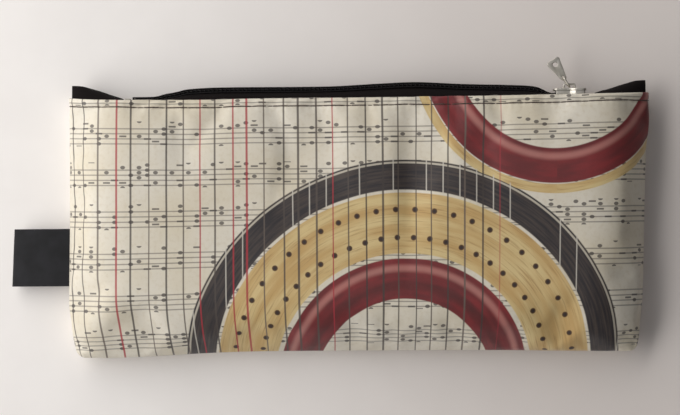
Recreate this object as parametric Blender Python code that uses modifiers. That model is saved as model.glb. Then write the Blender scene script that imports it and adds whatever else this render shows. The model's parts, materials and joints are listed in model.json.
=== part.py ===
"""A flat fabric zip pouch, lying on its back.

X runs along the zip, Y from the bottom seam towards the zip, Z up out of the printed front.
The origin is the middle of the flat patch that the back panel rests on. The zip is closed:
its slider stands against the top stops, near the +X end.
"""

import math

import bmesh
import bpy
from mathutils import Matrix, Vector

MM = 0.001

# Pouch
POUCH_WIDTH = 220 * MM
POUCH_HEIGHT = 98 * MM
POUCH_THICKNESS = 18.5 * MM
SEAM_HEIGHT = 6.5 * MM
MOUTH_FRONT_HEIGHT = 16.2 * MM
MOUTH_BACK_HEIGHT = 1.6 * MM
MOUTH_SLOPE_LENGTH = 16 * MM
FRONT_SIDE_ROUND = 24 * MM
FRONT_BOTTOM_ROUND = 22 * MM
BACK_SIDE_ROUND = 12 * MM
BACK_BOTTOM_ROUND = 14 * MM
BOTTOM_LIFT = 1.5 * MM
MOUTH_SAG = 1.3 * MM
LEFT_PINCH = 2.1 * MM
RIGHT_PINCH = 5.4 * MM
GAP = 0.3 * MM

# How full the front stands between the bottom seam and the mouth, as a share of its crown
FRONT_DOME_SHARES = ((0.0, 0.93), (0.25, 0.97), (0.5, 1.0), (0.75, 0.985))
# How far the bottom edge is drawn up along the pouch, as a share of BOTTOM_LIFT; it hangs where below 0
BOTTOM_LIFT_SHARES = (
    (-1.0, -0.4),
    (-0.86, -0.5),
    (-0.72, -0.2),
    (-0.55, 0.4),
    (-0.38, 0.72),
    (-0.2, 0.72),
    (0.2, 0.6),
    (0.48, 0.45),
    (0.83, 0.0),
    (1.0, -0.1),
)
# How far the mouth's edge hangs below the straight line between its corners, as a share of MOUTH_SAG
MOUTH_SAG_SHARES = (
    (-1.0, 0.0),
    (-0.93, 0.48),
    (-0.75, 0.84),
    (-0.52, 1.0),
    (-0.38, 0.8),
    (0.0, 0.77),
    (0.36, 0.67),
    (0.62, 0.48),
    (1.0, 0.0),
)
# How far each side is drawn in, from the bottom seam up to the mouth, as a share of its pinch
LEFT_PINCH_SHARES = ((0.0, 1.0), (0.1, 0.2), (0.22, -0.35), (0.5, -0.15), (0.88, 0.0), (1.0, 0.0))
RIGHT_PINCH_SHARES = ((0.0, 1.0), (0.2, 0.58), (0.35, 0.46), (0.78, 0.2), (0.88, 0.0), (1.0, 0.0))

# Cloth
FABRIC_THICKNESS = 0.7 * MM
LINING_THICKNESS = 0.3 * MM
LINING_DROP = 5.4 * MM
THREAD_DIAMETER = 0.5 * MM
STITCH_LINE_DROP = 3.2 * MM
SEAM_THREAD_STOP = 4 * MM

# Zip
TAPE_THICKNESS = 0.5 * MM
TAPE_HELD = 9.5 * MM
TAPE_SHOULDER = 1.5 * MM
CHAIN_SUNK = 2.0 * MM
CHAIN_BULGE = 4.6 * MM
EAR_RISE = 6.7 * MM
ZIP_END = 23.8 * MM
COIL_THICKNESS = 2.2 * MM
COIL_HALF_WIDTH = 2.6 * MM
COIL_SPINE = 1.55 * MM
COIL_PITCH = 1.6 * MM
COIL_TIP = 0.3 * MM
COIL_MESH_DEPTH = 0.25 * MM
SPREAD_LENGTH = 5.5 * MM
SPREAD_LEAD = 1.0 * MM
STOP_LENGTH = 2.0 * MM
STOP_WEB = 0.6 * MM
STOP_ARM = 1.2 * MM
STOP_REACH = 2.0 * MM

# Height of the closed chain over its sunk level, along the stretch between the two dips
BULGE_SHARES = (
    (-1.0, 0.0),
    (-0.98, 0.11),
    (-0.95, 0.38),
    (-0.9, 0.57),
    (-0.74, 0.72),
    (-0.15, 0.72),
    (0.1, 0.9),
    (0.3, 1.0),
    (0.55, 0.8),
    (0.83, 0.66),
    (0.93, 0.52),
    (0.975, 0.22),
    (1.0, 0.0),
)
# Rise of the bare tape from a dip out to its end
EAR_SHARES = ((0.0, 0.0), (0.06, 0.06), (0.26, 0.4), (0.46, 0.67), (0.62, 0.81), (0.8, 0.96), (1.0, 1.0))

# Slider
SLIDER_LENGTH = 12.4 * MM
SLIDER_HALF_NOSE = 5.1 * MM
SLIDER_HALF_TAIL = 3.9 * MM
PLATE_THICKNESS = 0.9 * MM
FLANGE_THICKNESS = 0.7 * MM
SLIDER_STOP_GAP = 0.5 * MM
POST_LENGTH = 3.6 * MM
POST_HALF_WIDTH = 0.7 * MM
CROWN_OPENING_LENGTH = 3.4 * MM
CROWN_OPENING_HEIGHT = 1.3 * MM
CROWN_THICKNESS = 0.7 * MM
CROWN_WIDTH = 1.6 * MM
CROWN_CORNER = 0.5 * MM
SINK = 0.2 * MM

# Pull
LINK_WIRE = 0.8 * MM
LINK_LENGTH = 4.1 * MM
LINK_WIDTH = 3.0 * MM
LINK_CORNER = 0.9 * MM
PULL_LEAN = math.radians(32)
EYE_RADIUS = 0.65 * MM
EYE_WALL = 0.5 * MM
TAB_LENGTH = 8.0 * MM
TAB_HALF_WIDTH = 2.7 * MM
TAB_CORNER = 0.8 * MM
TAB_THICKNESS = 1.0 * MM
TAB_HOLE_RADIUS = 0.9 * MM
TAB_HOLE_INSET = 2.2 * MM
TAB_EDGE = 0.15 * MM

# Side tag
TAG_LENGTH = 21.0 * MM
TAG_WIDTH = 21.8 * MM
TAG_CENTRE_DROP = 60.5 * MM
TAG_RIBBON = 0.4 * MM
TAG_SLIT = 0.2 * MM
TAG_FOLD_BULGE = 0.4 * MM
TAG_DROOP = 2.2 * MM
TAG_SKEW = 1.1 * MM

# How finely round and curved shapes are cut up
ROUND_STEPS = 7
MIDDLE_COLUMNS = 12
MIDDLE_ROWS = 6
MOUTH_ROWS = 2
TAPE_MIDDLE_COLUMNS = 60
TAPE_ARC_STEPS = 6
TAPE_HELD_STEPS = 2
HOLE_STEPS = 14
TAG_STEPS = 6
FOLD_STEPS = 6

# Sizes that follow from the ones above
HALF_WIDTH = POUCH_WIDTH / 2
BOTTOM_Y = -POUCH_HEIGHT / 2
MOUTH_Y = POUCH_HEIGHT / 2
TAPE_INSET = FABRIC_THICKNESS + GAP
LINING_INSET = TAPE_INSET + TAPE_THICKNESS + GAP
SEAM_THREAD_INSET = FABRIC_THICKNESS + GAP + THREAD_DIAMETER / 2
CHAIN_HALF = HALF_WIDTH - ZIP_END
SLIDER_X = CHAIN_HALF + GAP - SLIDER_STOP_GAP - SLIDER_LENGTH / 2
DIP_START = SLIDER_X - SLIDER_LENGTH / 2 - COIL_PITCH
SPREAD = POST_HALF_WIDTH + GAP + COIL_MESH_DEPTH
STOP_START = CHAIN_HALF + GAP
STOP_END = STOP_START + STOP_LENGTH
DIP_END = STOP_END + GAP
BOTTOM_SPREAD = (STOP_WEB + GAP) / 2
CHAIN_Y = MOUTH_Y - CHAIN_SUNK
PLATE_Y = CHAIN_Y + GAP + COIL_THICKNESS + GAP
HINGE_Y = PLATE_Y + PLATE_THICKNESS + CROWN_OPENING_HEIGHT / 2
TAG_Y = MOUTH_Y - TAG_CENTRE_DROP
MOUTH_FOLD = POUCH_HEIGHT - MOUTH_SLOPE_LENGTH
WELD = 0.001 * MM


def smooth(t):
    """0 to 1 with level ends."""
    t = min(max(t, 0.0), 1.0)
    return t * t * (3 - 2 * t)


def along(shares, place):
    """The value at a place of a smooth curve through a table of (place, value)."""
    place = min(max(place, shares[0][0]), shares[-1][0])
    last = len(shares) - 1
    k = max(i for i in range(last) if shares[i][0] <= place)
    (x0, y0), (x1, y1) = shares[k], shares[k + 1]
    before, after = shares[max(k - 1, 0)], shares[min(k + 2, last)]
    run = x1 - x0
    slope_0 = (y1 - before[1]) / (x1 - before[0]) * run
    slope_1 = (after[1] - y0) / (after[0] - x0) * run
    t = (place - x0) / run
    return (
        y0 * (1 + 2 * t) * (1 - t) ** 2
        + slope_0 * t * (1 - t) ** 2
        + y1 * t * t * (3 - 2 * t)
        + slope_1 * t * t * (t - 1)
    )


def round_rise(distance, length):
    """Quarter ellipse: 0 at an edge, 1 from the given length on."""
    t = min(max(distance / length, 0.0), 1.0)
    return math.sqrt(1 - (1 - t) ** 2)


def mouth_sag(x):
    """How far the mouth's edge hangs below the straight line between its corners."""
    return MOUTH_SAG * along(MOUTH_SAG_SHARES, x / HALF_WIDTH)


def outline_point(across, up):
    """World X and Y of a place that is across from the middle line and up from the bottom seam."""
    share = up / POUCH_HEIGHT
    if across < 0:
        drawn = LEFT_PINCH * along(LEFT_PINCH_SHARES, share)
    else:
        drawn = RIGHT_PINCH * along(RIGHT_PINCH_SHARES, share)
    lift = BOTTOM_LIFT * along(BOTTOM_LIFT_SHARES, across / HALF_WIDTH)
    y = BOTTOM_Y + up + lift * (1 - share) ** 2 - mouth_sag(across) * share**2
    return across * (1 - drawn / HALF_WIDTH), y


def front_z(across, up, inset, thickness):
    """Outer face of a layer of the front, that far inside the pouch's own surface."""
    base = SEAM_HEIGHT + GAP / 2 + thickness
    side = round_rise(HALF_WIDTH - inset - abs(across), FRONT_SIDE_ROUND - inset)
    bottom = round_rise(up - inset, FRONT_BOTTOM_ROUND - inset)
    mouth_share = (MOUTH_FRONT_HEIGHT - SEAM_HEIGHT) / (POUCH_THICKNESS - SEAM_HEIGHT)
    dome = along((*FRONT_DOME_SHARES, (1.0, mouth_share)), up / POUCH_HEIGHT)
    top = SEAM_HEIGHT + (POUCH_THICKNESS - SEAM_HEIGHT) * dome - inset
    return base + (top - base) * side * bottom


def back_z(across, up, inset, thickness):
    """Outer face of a layer of the back, that far inside the pouch's own surface."""
    base = SEAM_HEIGHT - GAP / 2 - thickness
    side = round_rise(HALF_WIDTH - inset - abs(across), BACK_SIDE_ROUND - inset)
    bottom = round_rise(up - inset, BACK_BOTTOM_ROUND - inset)
    floor = inset + MOUTH_BACK_HEIGHT * max(up - MOUTH_FOLD, 0.0) / MOUTH_SLOPE_LENGTH
    return base + (floor - base) * side * bottom


def tape_level(x):
    """World Y of the zip tape's outer face at its free edge."""
    if abs(x) > DIP_START:
        end = HALF_WIDTH - TAPE_INSET
        return CHAIN_Y + EAR_RISE * along(EAR_SHARES, (abs(x) - DIP_END) / (end - DIP_END))
    return CHAIN_Y + CHAIN_BULGE * along(BULGE_SHARES, x / DIP_START)


def tape_root(x, side):
    """World Z of the tape's outer face where it goes under the panel's top edge."""
    height = front_z if side > 0 else back_z
    return height(x, POUCH_HEIGHT, TAPE_INSET, TAPE_THICKNESS)


def chain_z(x):
    """World Z of the line on which the two halves of the zip meet."""
    return (tape_root(x, 1) + tape_root(x, -1)) / 2


def spread(x):
    """How far each half of the zip stands off the middle line, round the slider's post and the stops."""
    right = SPREAD * smooth((x - SLIDER_X + SPREAD_LEAD) / SPREAD_LENGTH)
    left = BOTTOM_SPREAD * smooth((-x - CHAIN_HALF + SPREAD_LENGTH) / SPREAD_LENGTH)
    fade = 1 - smooth((abs(x) - STOP_END) / SPREAD_LENGTH)
    return (right + left) * fade


def turn_stations(seam_round):
    """Distances from a seam, close together where the cloth turns down to it."""
    return [seam_round * (1 - math.cos(math.pi / 2 * k / ROUND_STEPS)) for k in range(ROUND_STEPS)]


def even_stations(low, high, steps):
    """Evenly spaced places from low up to, but not with, high."""
    return [low + (high - low) * k / steps for k in range(steps)]


def across_stations(side, inset, middle):
    """Places across a layer of the front or the back, from its left seam to its right one."""
    half = HALF_WIDTH - inset
    seam_round = (FRONT_SIDE_ROUND if side > 0 else BACK_SIDE_ROUND) - inset
    flat = half - seam_round
    left = [place - half for place in turn_stations(seam_round)]
    return left + even_stations(-flat, flat, middle) + [flat] + [-place for place in reversed(left)]


def up_stations(side, inset, top):
    """Places up a layer of the front or the back, from its bottom seam to its top edge."""
    seam_round = (FRONT_BOTTOM_ROUND if side > 0 else BACK_BOTTOM_ROUND) - inset
    turn = [inset + place for place in turn_stations(seam_round)]
    middle = even_stations(inset + seam_round, MOUTH_FOLD, MIDDLE_ROWS)
    return turn + middle + even_stations(MOUTH_FOLD, top, MOUTH_ROWS) + [top]


def material(name, colour, roughness, metallic=0.0):
    made = bpy.data.materials.new(name)
    made.use_nodes = True
    made.diffuse_color = (*colour, 1.0)
    shader = made.node_tree.nodes["Principled BSDF"]
    shader.inputs["Base Color"].default_value = (*colour, 1.0)
    shader.inputs["Roughness"].default_value = roughness
    shader.inputs["Metallic"].default_value = metallic
    return made


def place_object(name, mesh, collection, finish):
    made = bpy.data.objects.new(name, mesh)
    collection.objects.link(made)
    if finish:
        made.data.materials.append(finish)
    return made


def sheet(name, columns, rows, place, thickness, offset, collection, finish):
    """A sheet of cloth: a grid laid on the surface that place() gives, then given its thickness."""
    bm = bmesh.new()
    bmesh.ops.create_grid(bm, x_segments=len(columns) - 1, y_segments=len(rows) - 1, size=1)
    for vertex in bm.verts:
        i = round((vertex.co.x + 1) / 2 * (len(columns) - 1))
        j = round((vertex.co.y + 1) / 2 * (len(rows) - 1))
        vertex.co = place(columns[i], rows[j])
    bmesh.ops.remove_doubles(bm, verts=bm.verts, dist=WELD)
    mesh = bpy.data.meshes.new(name)
    bm.to_mesh(mesh)
    bm.free()
    mesh.shade_smooth()
    made = place_object(name, mesh, collection, finish)
    solid = made.modifiers.new("thickness", "SOLIDIFY")
    solid.thickness = thickness
    solid.offset = offset
    solid.use_even_offset = True
    return made


def pouch_layer(name, side, inset, thickness, drop, collection, finish):
    """One panel of the pouch or its lining: a dome with a short skirt down to the seam plane."""
    half = HALF_WIDTH - inset
    height = front_z if side > 0 else back_z
    across = across_stations(side, inset, MIDDLE_COLUMNS)
    up = up_stations(side, inset, POUCH_HEIGHT - drop)
    columns = [("skirt", -half), *(("dome", place) for place in across), ("skirt", half)]
    rows = [("skirt", inset), *(("dome", place) for place in up)]

    def place(column, row):
        x, y = outline_point(column[1], row[1])
        if "skirt" in (column[0], row[0]):
            return x, y, SEAM_HEIGHT + side * GAP / 2
        return x, y, height(column[1], row[1], inset, thickness)

    return sheet(name, columns, rows, place, thickness, -side, collection, finish)


def zip_tape(name, side, collection, finish):
    """A tape held inside a panel's top edge, which arches over to the middle line of the mouth."""
    across = across_stations(side, TAPE_INSET, TAPE_MIDDLE_COLUMNS)[1:-1]
    dips = [-DIP_END, -DIP_START, DIP_START, DIP_END]
    columns = sorted(dips + [x for x in across if min(abs(x - dip) for dip in dips) > COIL_PITCH / 2])
    held = [("held", k / TAPE_HELD_STEPS) for k in range(TAPE_HELD_STEPS)]
    arch = [("arch", math.pi / 2 * k / TAPE_ARC_STEPS) for k in range(TAPE_ARC_STEPS + 1)]
    height = front_z if side > 0 else back_z

    def place(x, row):
        level = tape_level(x)
        sag = mouth_sag(x)
        bend = min(MOUTH_Y - sag, level) - TAPE_SHOULDER
        low = MOUTH_Y - TAPE_HELD
        kind, t = row
        if kind == "held":
            y = low + (bend - low) * t
            return x, y, height(x, y + sag - BOTTOM_Y, TAPE_INSET, TAPE_THICKNESS)
        power = 0.5 + 0.5 * smooth((level - CHAIN_Y) / CHAIN_BULGE)
        root = height(x, bend + sag - BOTTOM_Y, TAPE_INSET, TAPE_THICKNESS)
        edge = chain_z(x) + side * (GAP / 2 + spread(x))
        y = bend + (level - bend) * math.sin(t) ** power
        return x, y, edge + (root - edge) * max(math.cos(t), 0.0) ** power

    return sheet(name, columns, held + arch, place, TAPE_THICKNESS, -side, collection, finish)


def zip_coil(name, side, collection, finish):
    """Half of the chain: a spine along the tape's edge with teeth that reach between the other half's."""
    count = round(2 * CHAIN_HALF / COIL_PITCH)
    pitch = 2 * CHAIN_HALF / count
    start = -CHAIN_HALF + (0.0 if side > 0 else pitch / 2)
    cells = count - 1
    bm = bmesh.new()
    bmesh.ops.create_grid(bm, x_segments=cells, y_segments=1, size=1)
    inner = []
    for vertex in bm.verts:
        i = round((vertex.co.x + 1) / 2 * cells)
        is_inner = vertex.co.y > 0
        off = COIL_HALF_WIDTH - COIL_SPINE if is_inner else COIL_HALF_WIDTH
        vertex.co = (start + i * pitch, 0, off)
    for edge in bm.edges:
        if all(abs(v.co.z - COIL_HALF_WIDTH + COIL_SPINE) < WELD for v in edge.verts):
            inner.append(edge)
    for edge in inner:
        made = bmesh.ops.extrude_edge_only(bm, edges=[edge])
        tip = [v for v in made["geom"] if isinstance(v, bmesh.types.BMVert)]
        middle = sum(v.co.x for v in tip) / 2
        for vertex in tip:
            side_of_tooth = math.copysign(COIL_TIP / 2, vertex.co.x - middle)
            vertex.co = (middle + side_of_tooth, 0, -COIL_MESH_DEPTH)
    for vertex in bm.verts:
        x, off = vertex.co.x, vertex.co.z
        vertex.co = (x, tape_level(x) + GAP, chain_z(x) + side * (off + spread(x)))
    raised = bmesh.ops.extrude_face_region(bm, geom=bm.faces[:])
    for vertex in raised["geom"]:
        if isinstance(vertex, bmesh.types.BMVert):
            vertex.co.y += COIL_THICKNESS
    bmesh.ops.recalc_face_normals(bm, faces=bm.faces)
    mesh = bpy.data.meshes.new(name)
    bm.to_mesh(mesh)
    bm.free()
    return place_object(name, mesh, collection, finish)


def set_origin(made, origin):
    """Moves a moving piece's origin onto its joint's axis, and leaves its shape where it is."""
    made.data.transform(Matrix.Translation(-origin))
    made.location = origin


def mesh_of(source):
    """A welded mesh of a curve object, in world space. The curve is removed."""
    bpy.context.view_layer.update()
    graph = bpy.context.evaluated_depsgraph_get()
    mesh = bpy.data.meshes.new_from_object(source.evaluated_get(graph))
    mesh.transform(source.matrix_world)
    bm = bmesh.new()
    bm.from_mesh(mesh)
    bmesh.ops.remove_doubles(bm, verts=bm.verts, dist=WELD)
    bmesh.ops.recalc_face_normals(bm, faces=bm.faces)
    bm.to_mesh(mesh)
    bm.free()
    bpy.data.objects.remove(source)
    return mesh


def flat_piece(name, outlines, thickness, turn, collection, finish):
    """A flat outline, with any holes, given a thickness. turn carries its own XY plane to the world's."""
    curve = bpy.data.curves.new(name, "CURVE")
    curve.dimensions = "2D"
    curve.fill_mode = "BOTH"
    curve.extrude = thickness / 2
    for points in outlines:
        spline = curve.splines.new("POLY")
        spline.points.add(len(points) - 1)
        for point, (x, y) in zip(spline.points, points):
            point.co = (x, y, 0, 1)
        spline.use_cyclic_u = True
    source = bpy.data.objects.new(name, curve)
    source.matrix_world = turn
    collection.objects.link(source)
    return place_object(name, mesh_of(source), collection, finish)


def tube(name, points, diameter, collection, finish, closed=False, resolution=0):
    """A thread or a wire through the points."""
    curve = bpy.data.curves.new(name, "CURVE")
    curve.dimensions = "3D"
    curve.bevel_depth = diameter / 2
    curve.bevel_resolution = resolution
    curve.use_fill_caps = not closed
    spline = curve.splines.new("POLY")
    spline.points.add(len(points) - 1)
    for point, place in zip(spline.points, points):
        point.co = (*place, 1)
    spline.use_cyclic_u = closed
    source = bpy.data.objects.new(name, curve)
    collection.objects.link(source)
    return place_object(name, mesh_of(source), collection, finish)


def arc(centre, radius, start, end, steps):
    """Points of an arc, with its angles in degrees."""
    turn = [math.radians(start + (end - start) * k / steps) for k in range(steps + 1)]
    return [(centre[0] + radius * math.cos(t), centre[1] + radius * math.sin(t)) for t in turn]


def topstitch(name, side, collection, finish):
    """The thread that sews a panel's turned-in top edge to the tape."""
    up = POUCH_HEIGHT - STITCH_LINE_DROP
    height = front_z if side > 0 else back_z
    surface = []
    for across in across_stations(side, 0, MIDDLE_COLUMNS)[1:-1]:
        x, y = outline_point(across, up)
        surface.append(Vector((x, y, height(across, up, 0, FABRIC_THICKNESS))))
    points = []
    for k, here in enumerate(surface):
        run = surface[min(k + 1, len(surface) - 1)] - surface[max(k - 1, 0)]
        outward = Vector((-run.z, 0, run.x)).normalized() * side
        points.append(here + outward * (GAP + THREAD_DIAMETER / 2))
    return tube(name, points, THREAD_DIAMETER, collection, finish)


def seam_threads(collection, finish):
    """The threads inside the side seams and the bottom seam."""
    side_x = HALF_WIDTH - SEAM_THREAD_INSET
    high = POUCH_HEIGHT - TAPE_HELD - GAP
    ups = [up for up in up_stations(1, SEAM_THREAD_INSET, high) if up > SEAM_THREAD_STOP]
    for name, side in (("side_seam_left", -1), ("side_seam_right", 1)):
        points = [(*outline_point(side * side_x, up), SEAM_HEIGHT) for up in ups]
        tube(name, points, THREAD_DIAMETER, collection, finish)
    reach = side_x - SEAM_THREAD_STOP
    across = [a for a in across_stations(1, SEAM_THREAD_INSET, MIDDLE_COLUMNS) if abs(a) < reach]
    points = [(*outline_point(a, SEAM_THREAD_INSET), SEAM_HEIGHT) for a in across]
    tube("bottom_seam", points, THREAD_DIAMETER, collection, finish)


def zip_stops(collection, finish):
    """A clamp on each tape's edge at the top end, and one that joins both tapes at the bottom end."""
    for name, side in (("top_stop_front", 1), ("top_stop_back", -1)):
        middle = STOP_START + STOP_LENGTH / 2
        level, edge = tape_level(middle), GAP / 2 + spread(middle) - GAP
        upper, lower = level + GAP, level - TAPE_THICKNESS - GAP
        outline = [
            (edge - STOP_WEB, lower - STOP_ARM),
            (edge + STOP_REACH, lower - STOP_ARM),
            (edge + STOP_REACH, lower),
            (edge, lower),
            (edge, upper),
            (edge + STOP_REACH, upper),
            (edge + STOP_REACH, upper + STOP_ARM),
            (edge - STOP_WEB, upper + STOP_ARM),
        ]
        flat_piece(name, [outline], STOP_LENGTH, across_zip(middle, side), collection, finish)
    middle = -STOP_START - STOP_LENGTH / 2
    level = tape_level(middle)
    upper, lower = level + GAP, level - TAPE_THICKNESS - GAP
    web = STOP_WEB / 2
    right = [
        (web + STOP_REACH, upper + STOP_ARM),
        (web + STOP_REACH, upper),
        (web, upper),
        (web, lower),
        (web + STOP_REACH, lower),
        (web + STOP_REACH, lower - STOP_ARM),
    ]
    outline = right + [(-z, y) for z, y in reversed(right)]
    flat_piece("bottom_stop", [outline], STOP_LENGTH, across_zip(middle, 1), collection, finish)


def across_zip(x, side):
    """Carries an outline drawn as (off the middle line, world Y) to its place across the zip at x."""
    turn = Matrix(((0, 0, 1), (0, 1, 0), (side, 0, 0))).to_4x4()
    return Matrix.Translation((x, 0, chain_z(x))) @ turn


def slider_outline(shrink=0.0):
    """The slider's plates seen from the zip's face: blunt tail on the left, wide nose on the right."""
    half = SLIDER_LENGTH / 2
    shoulder = half / 3
    nose, tail = SLIDER_HALF_NOSE - shrink, SLIDER_HALF_TAIL - shrink
    upper = [
        (-half, tail - shoulder / 2),
        (-half + shoulder / 2, tail),
        (0, tail),
        (shoulder, nose),
        (half - shoulder / 3, nose),
        (half, nose - shoulder / 2),
    ]
    return upper + [(x, -z) for x, z in reversed(upper)]


def joined(target, tools):
    """Unions the tools into the target. The tools stay as hidden guides."""
    for tool in tools:
        tool.hide_render = True
        tool.display_type = "WIRE"
        union = target.modifiers.new(tool.name, "BOOLEAN")
        union.operation = "UNION"
        union.solver = "EXACT"
        union.object = tool


def slider(collection, guides, finish):
    """The slider body: two plates, the post between them, side flanges and the crown for the pull."""
    z = chain_z(SLIDER_X)
    lower_top = CHAIN_Y - TAPE_THICKNESS - GAP
    flat = Matrix(((1, 0, 0), (0, 0, -1), (0, 1, 0))).to_4x4()

    def at(y):
        return Matrix.Translation((SLIDER_X, y, z)) @ flat

    plate = PLATE_THICKNESS
    shape = [slider_outline()]
    body = flat_piece("slider_body", shape, plate, at(PLATE_Y + plate / 2), collection, finish)
    lower = flat_piece("slider_lower_plate", shape, plate, at(lower_top - plate / 2), guides, None)
    nose = SLIDER_LENGTH / 2 - SINK
    post_outline = [
        (nose - POST_LENGTH, 0),
        (nose - POST_LENGTH / 2, -POST_HALF_WIDTH),
        (nose, -POST_HALF_WIDTH / 2),
        (nose, POST_HALF_WIDTH / 2),
        (nose - POST_LENGTH / 2, POST_HALF_WIDTH),
    ]
    post_height = PLATE_Y - lower_top + 2 * SINK
    post_y = (PLATE_Y + lower_top) / 2
    post = flat_piece("slider_post", [post_outline], post_height, at(post_y), guides, None)
    flange_low = CHAIN_Y + GAP
    flange_height = PLATE_Y + SINK - flange_low
    flanges = []
    for name, side in (("slider_flange_front", 1), ("slider_flange_back", -1)):
        outer = slider_outline(SINK)[:5]
        inner = [(x, w - FLANGE_THICKNESS) for x, w in outer[1:]]
        strip = [(x, side * w) for x, w in outer[1:] + list(reversed(inner))]
        flanges.append(
            flat_piece(name, [strip], flange_height, at(flange_low + flange_height / 2), guides, None)
        )
    crown = crown_arch(guides, z)
    set_origin(body, pull_turn().translation)
    joined(body, [lower, post, *flanges, crown])
    return body


def crown_arch(guides, z):
    """The arch on the outer plate, standing along the zip."""
    inner = CROWN_OPENING_LENGTH / 2
    outer = inner + CROWN_THICKNESS
    low = PLATE_Y + PLATE_THICKNESS - SINK
    roof = PLATE_Y + PLATE_THICKNESS + CROWN_OPENING_HEIGHT
    top = roof + CROWN_THICKNESS
    outline = [
        (-outer, low),
        (-outer, top - CROWN_CORNER),
        (-outer + CROWN_CORNER, top),
        (outer - CROWN_CORNER, top),
        (outer, top - CROWN_CORNER),
        (outer, low),
        (inner, low),
        (inner, roof),
        (-inner, roof),
        (-inner, low),
    ]
    place = Matrix.Translation((SLIDER_X, 0, z))
    return flat_piece("slider_crown", [outline], CROWN_WIDTH, place, guides, None)


def pull_turn():
    """Carries shapes drawn along +Y from the crown's hinge line to the way the pull leans."""
    hinge = Matrix.Translation((SLIDER_X, HINGE_Y, chain_z(SLIDER_X)))
    return hinge @ Matrix.Rotation(PULL_LEAN, 4, "Z")


def pull_link(collection, finish):
    """The wire loop between the crown and the tab, in the plane across the zip."""
    half = LINK_WIDTH / 2
    steps = 3
    corners = (
        ((half - LINK_CORNER, LINK_CORNER), -90),
        ((half - LINK_CORNER, LINK_LENGTH - LINK_CORNER), 0),
        ((LINK_CORNER - half, LINK_LENGTH - LINK_CORNER), 90),
        ((LINK_CORNER - half, LINK_CORNER), 180),
    )
    path = [p for centre, start in corners for p in arc(centre, LINK_CORNER, start, start + 90, steps)]
    turn = pull_turn()
    points = [turn @ Vector((0, y, z)) for z, y in path]
    link = tube("pull_link", points, LINK_WIRE, collection, finish, closed=True, resolution=1)
    set_origin(link, turn.translation)
    return link


def pull_tab(collection, finish):
    """The flat tab: a round eye on the link, widening to a square end with a hole."""
    eye = (0, LINK_LENGTH)
    end = LINK_LENGTH + TAB_LENGTH
    corner_x, corner_y = TAB_HALF_WIDTH - TAB_CORNER, end - TAB_CORNER
    outline = (
        arc(eye, EYE_RADIUS + EYE_WALL, 180, 360, HOLE_STEPS // 2)
        + arc((corner_x, corner_y), TAB_CORNER, 0, 90, 3)
        + arc((-corner_x, corner_y), TAB_CORNER, 90, 180, 3)
    )
    eye_hole = arc(eye, EYE_RADIUS, 0, 360, HOLE_STEPS)[:-1]
    tip_hole = arc((0, end - TAB_HOLE_INSET), TAB_HOLE_RADIUS, 0, 360, HOLE_STEPS)[:-1]
    tab = flat_piece(
        "pull_tab", [outline, eye_hole, tip_hole], TAB_THICKNESS, pull_turn(), collection, finish
    )
    set_origin(tab, pull_turn() @ Vector((*eye, 0)))
    bevel = tab.modifiers.new("edge", "BEVEL")
    bevel.width = TAB_EDGE
    bevel.segments = 1
    bevel.limit_method = "ANGLE"
    bevel.angle_limit = math.radians(60)
    return tab


def side_tag(collection, finish):
    """A woven ribbon folded in two, its open end in the left side seam."""
    middle = TAG_Y - BOTTOM_Y
    ups = (middle - TAG_WIDTH / 2, middle, middle + TAG_WIDTH / 2)
    root = min(outline_point(-HALF_WIDTH, up)[0] for up in ups) - GAP

    def half_height(t, layer):
        return TAG_SLIT / 2 + layer + TAG_FOLD_BULGE * smooth(2 * t - 1) / 2

    places = [k / TAG_STEPS for k in range(TAG_STEPS + 1)]
    outlines = []
    for layer in (TAG_RIBBON, 0.0):
        straight = TAG_LENGTH - half_height(1, TAG_RIBBON)
        side = [(-t * straight, half_height(t, layer)) for t in places]
        fold = arc((-straight, 0), half_height(1, layer), 90, 270, FOLD_STEPS)[1:-1]
        outlines.append((side, fold))
    (outer, outer_fold), (slit, slit_fold) = outlines
    outline = (
        outer
        + outer_fold
        + [(x, -z) for x, z in reversed(outer)]
        + [(x, -z) for x, z in slit]
        + list(reversed(slit_fold))
        + list(reversed(slit))
    )
    upright = Matrix(((1, 0, 0), (0, 0, -1), (0, 1, 0))).to_4x4()
    place = Matrix.Translation((root, TAG_Y, SEAM_HEIGHT)) @ upright
    tag = flat_piece("side_tag", [outline], TAG_WIDTH, place, collection, finish)
    for vertex in tag.data.vertices:
        out = (root - vertex.co.x) / TAG_LENGTH
        vertex.co.z -= TAG_DROOP * out * out
        vertex.co.x += TAG_SKEW * out * (vertex.co.y - TAG_Y) / TAG_WIDTH
    set_origin(tag, place.translation - Vector((half_height(0, TAG_RIBBON), 0, 0)))
    return tag


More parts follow.
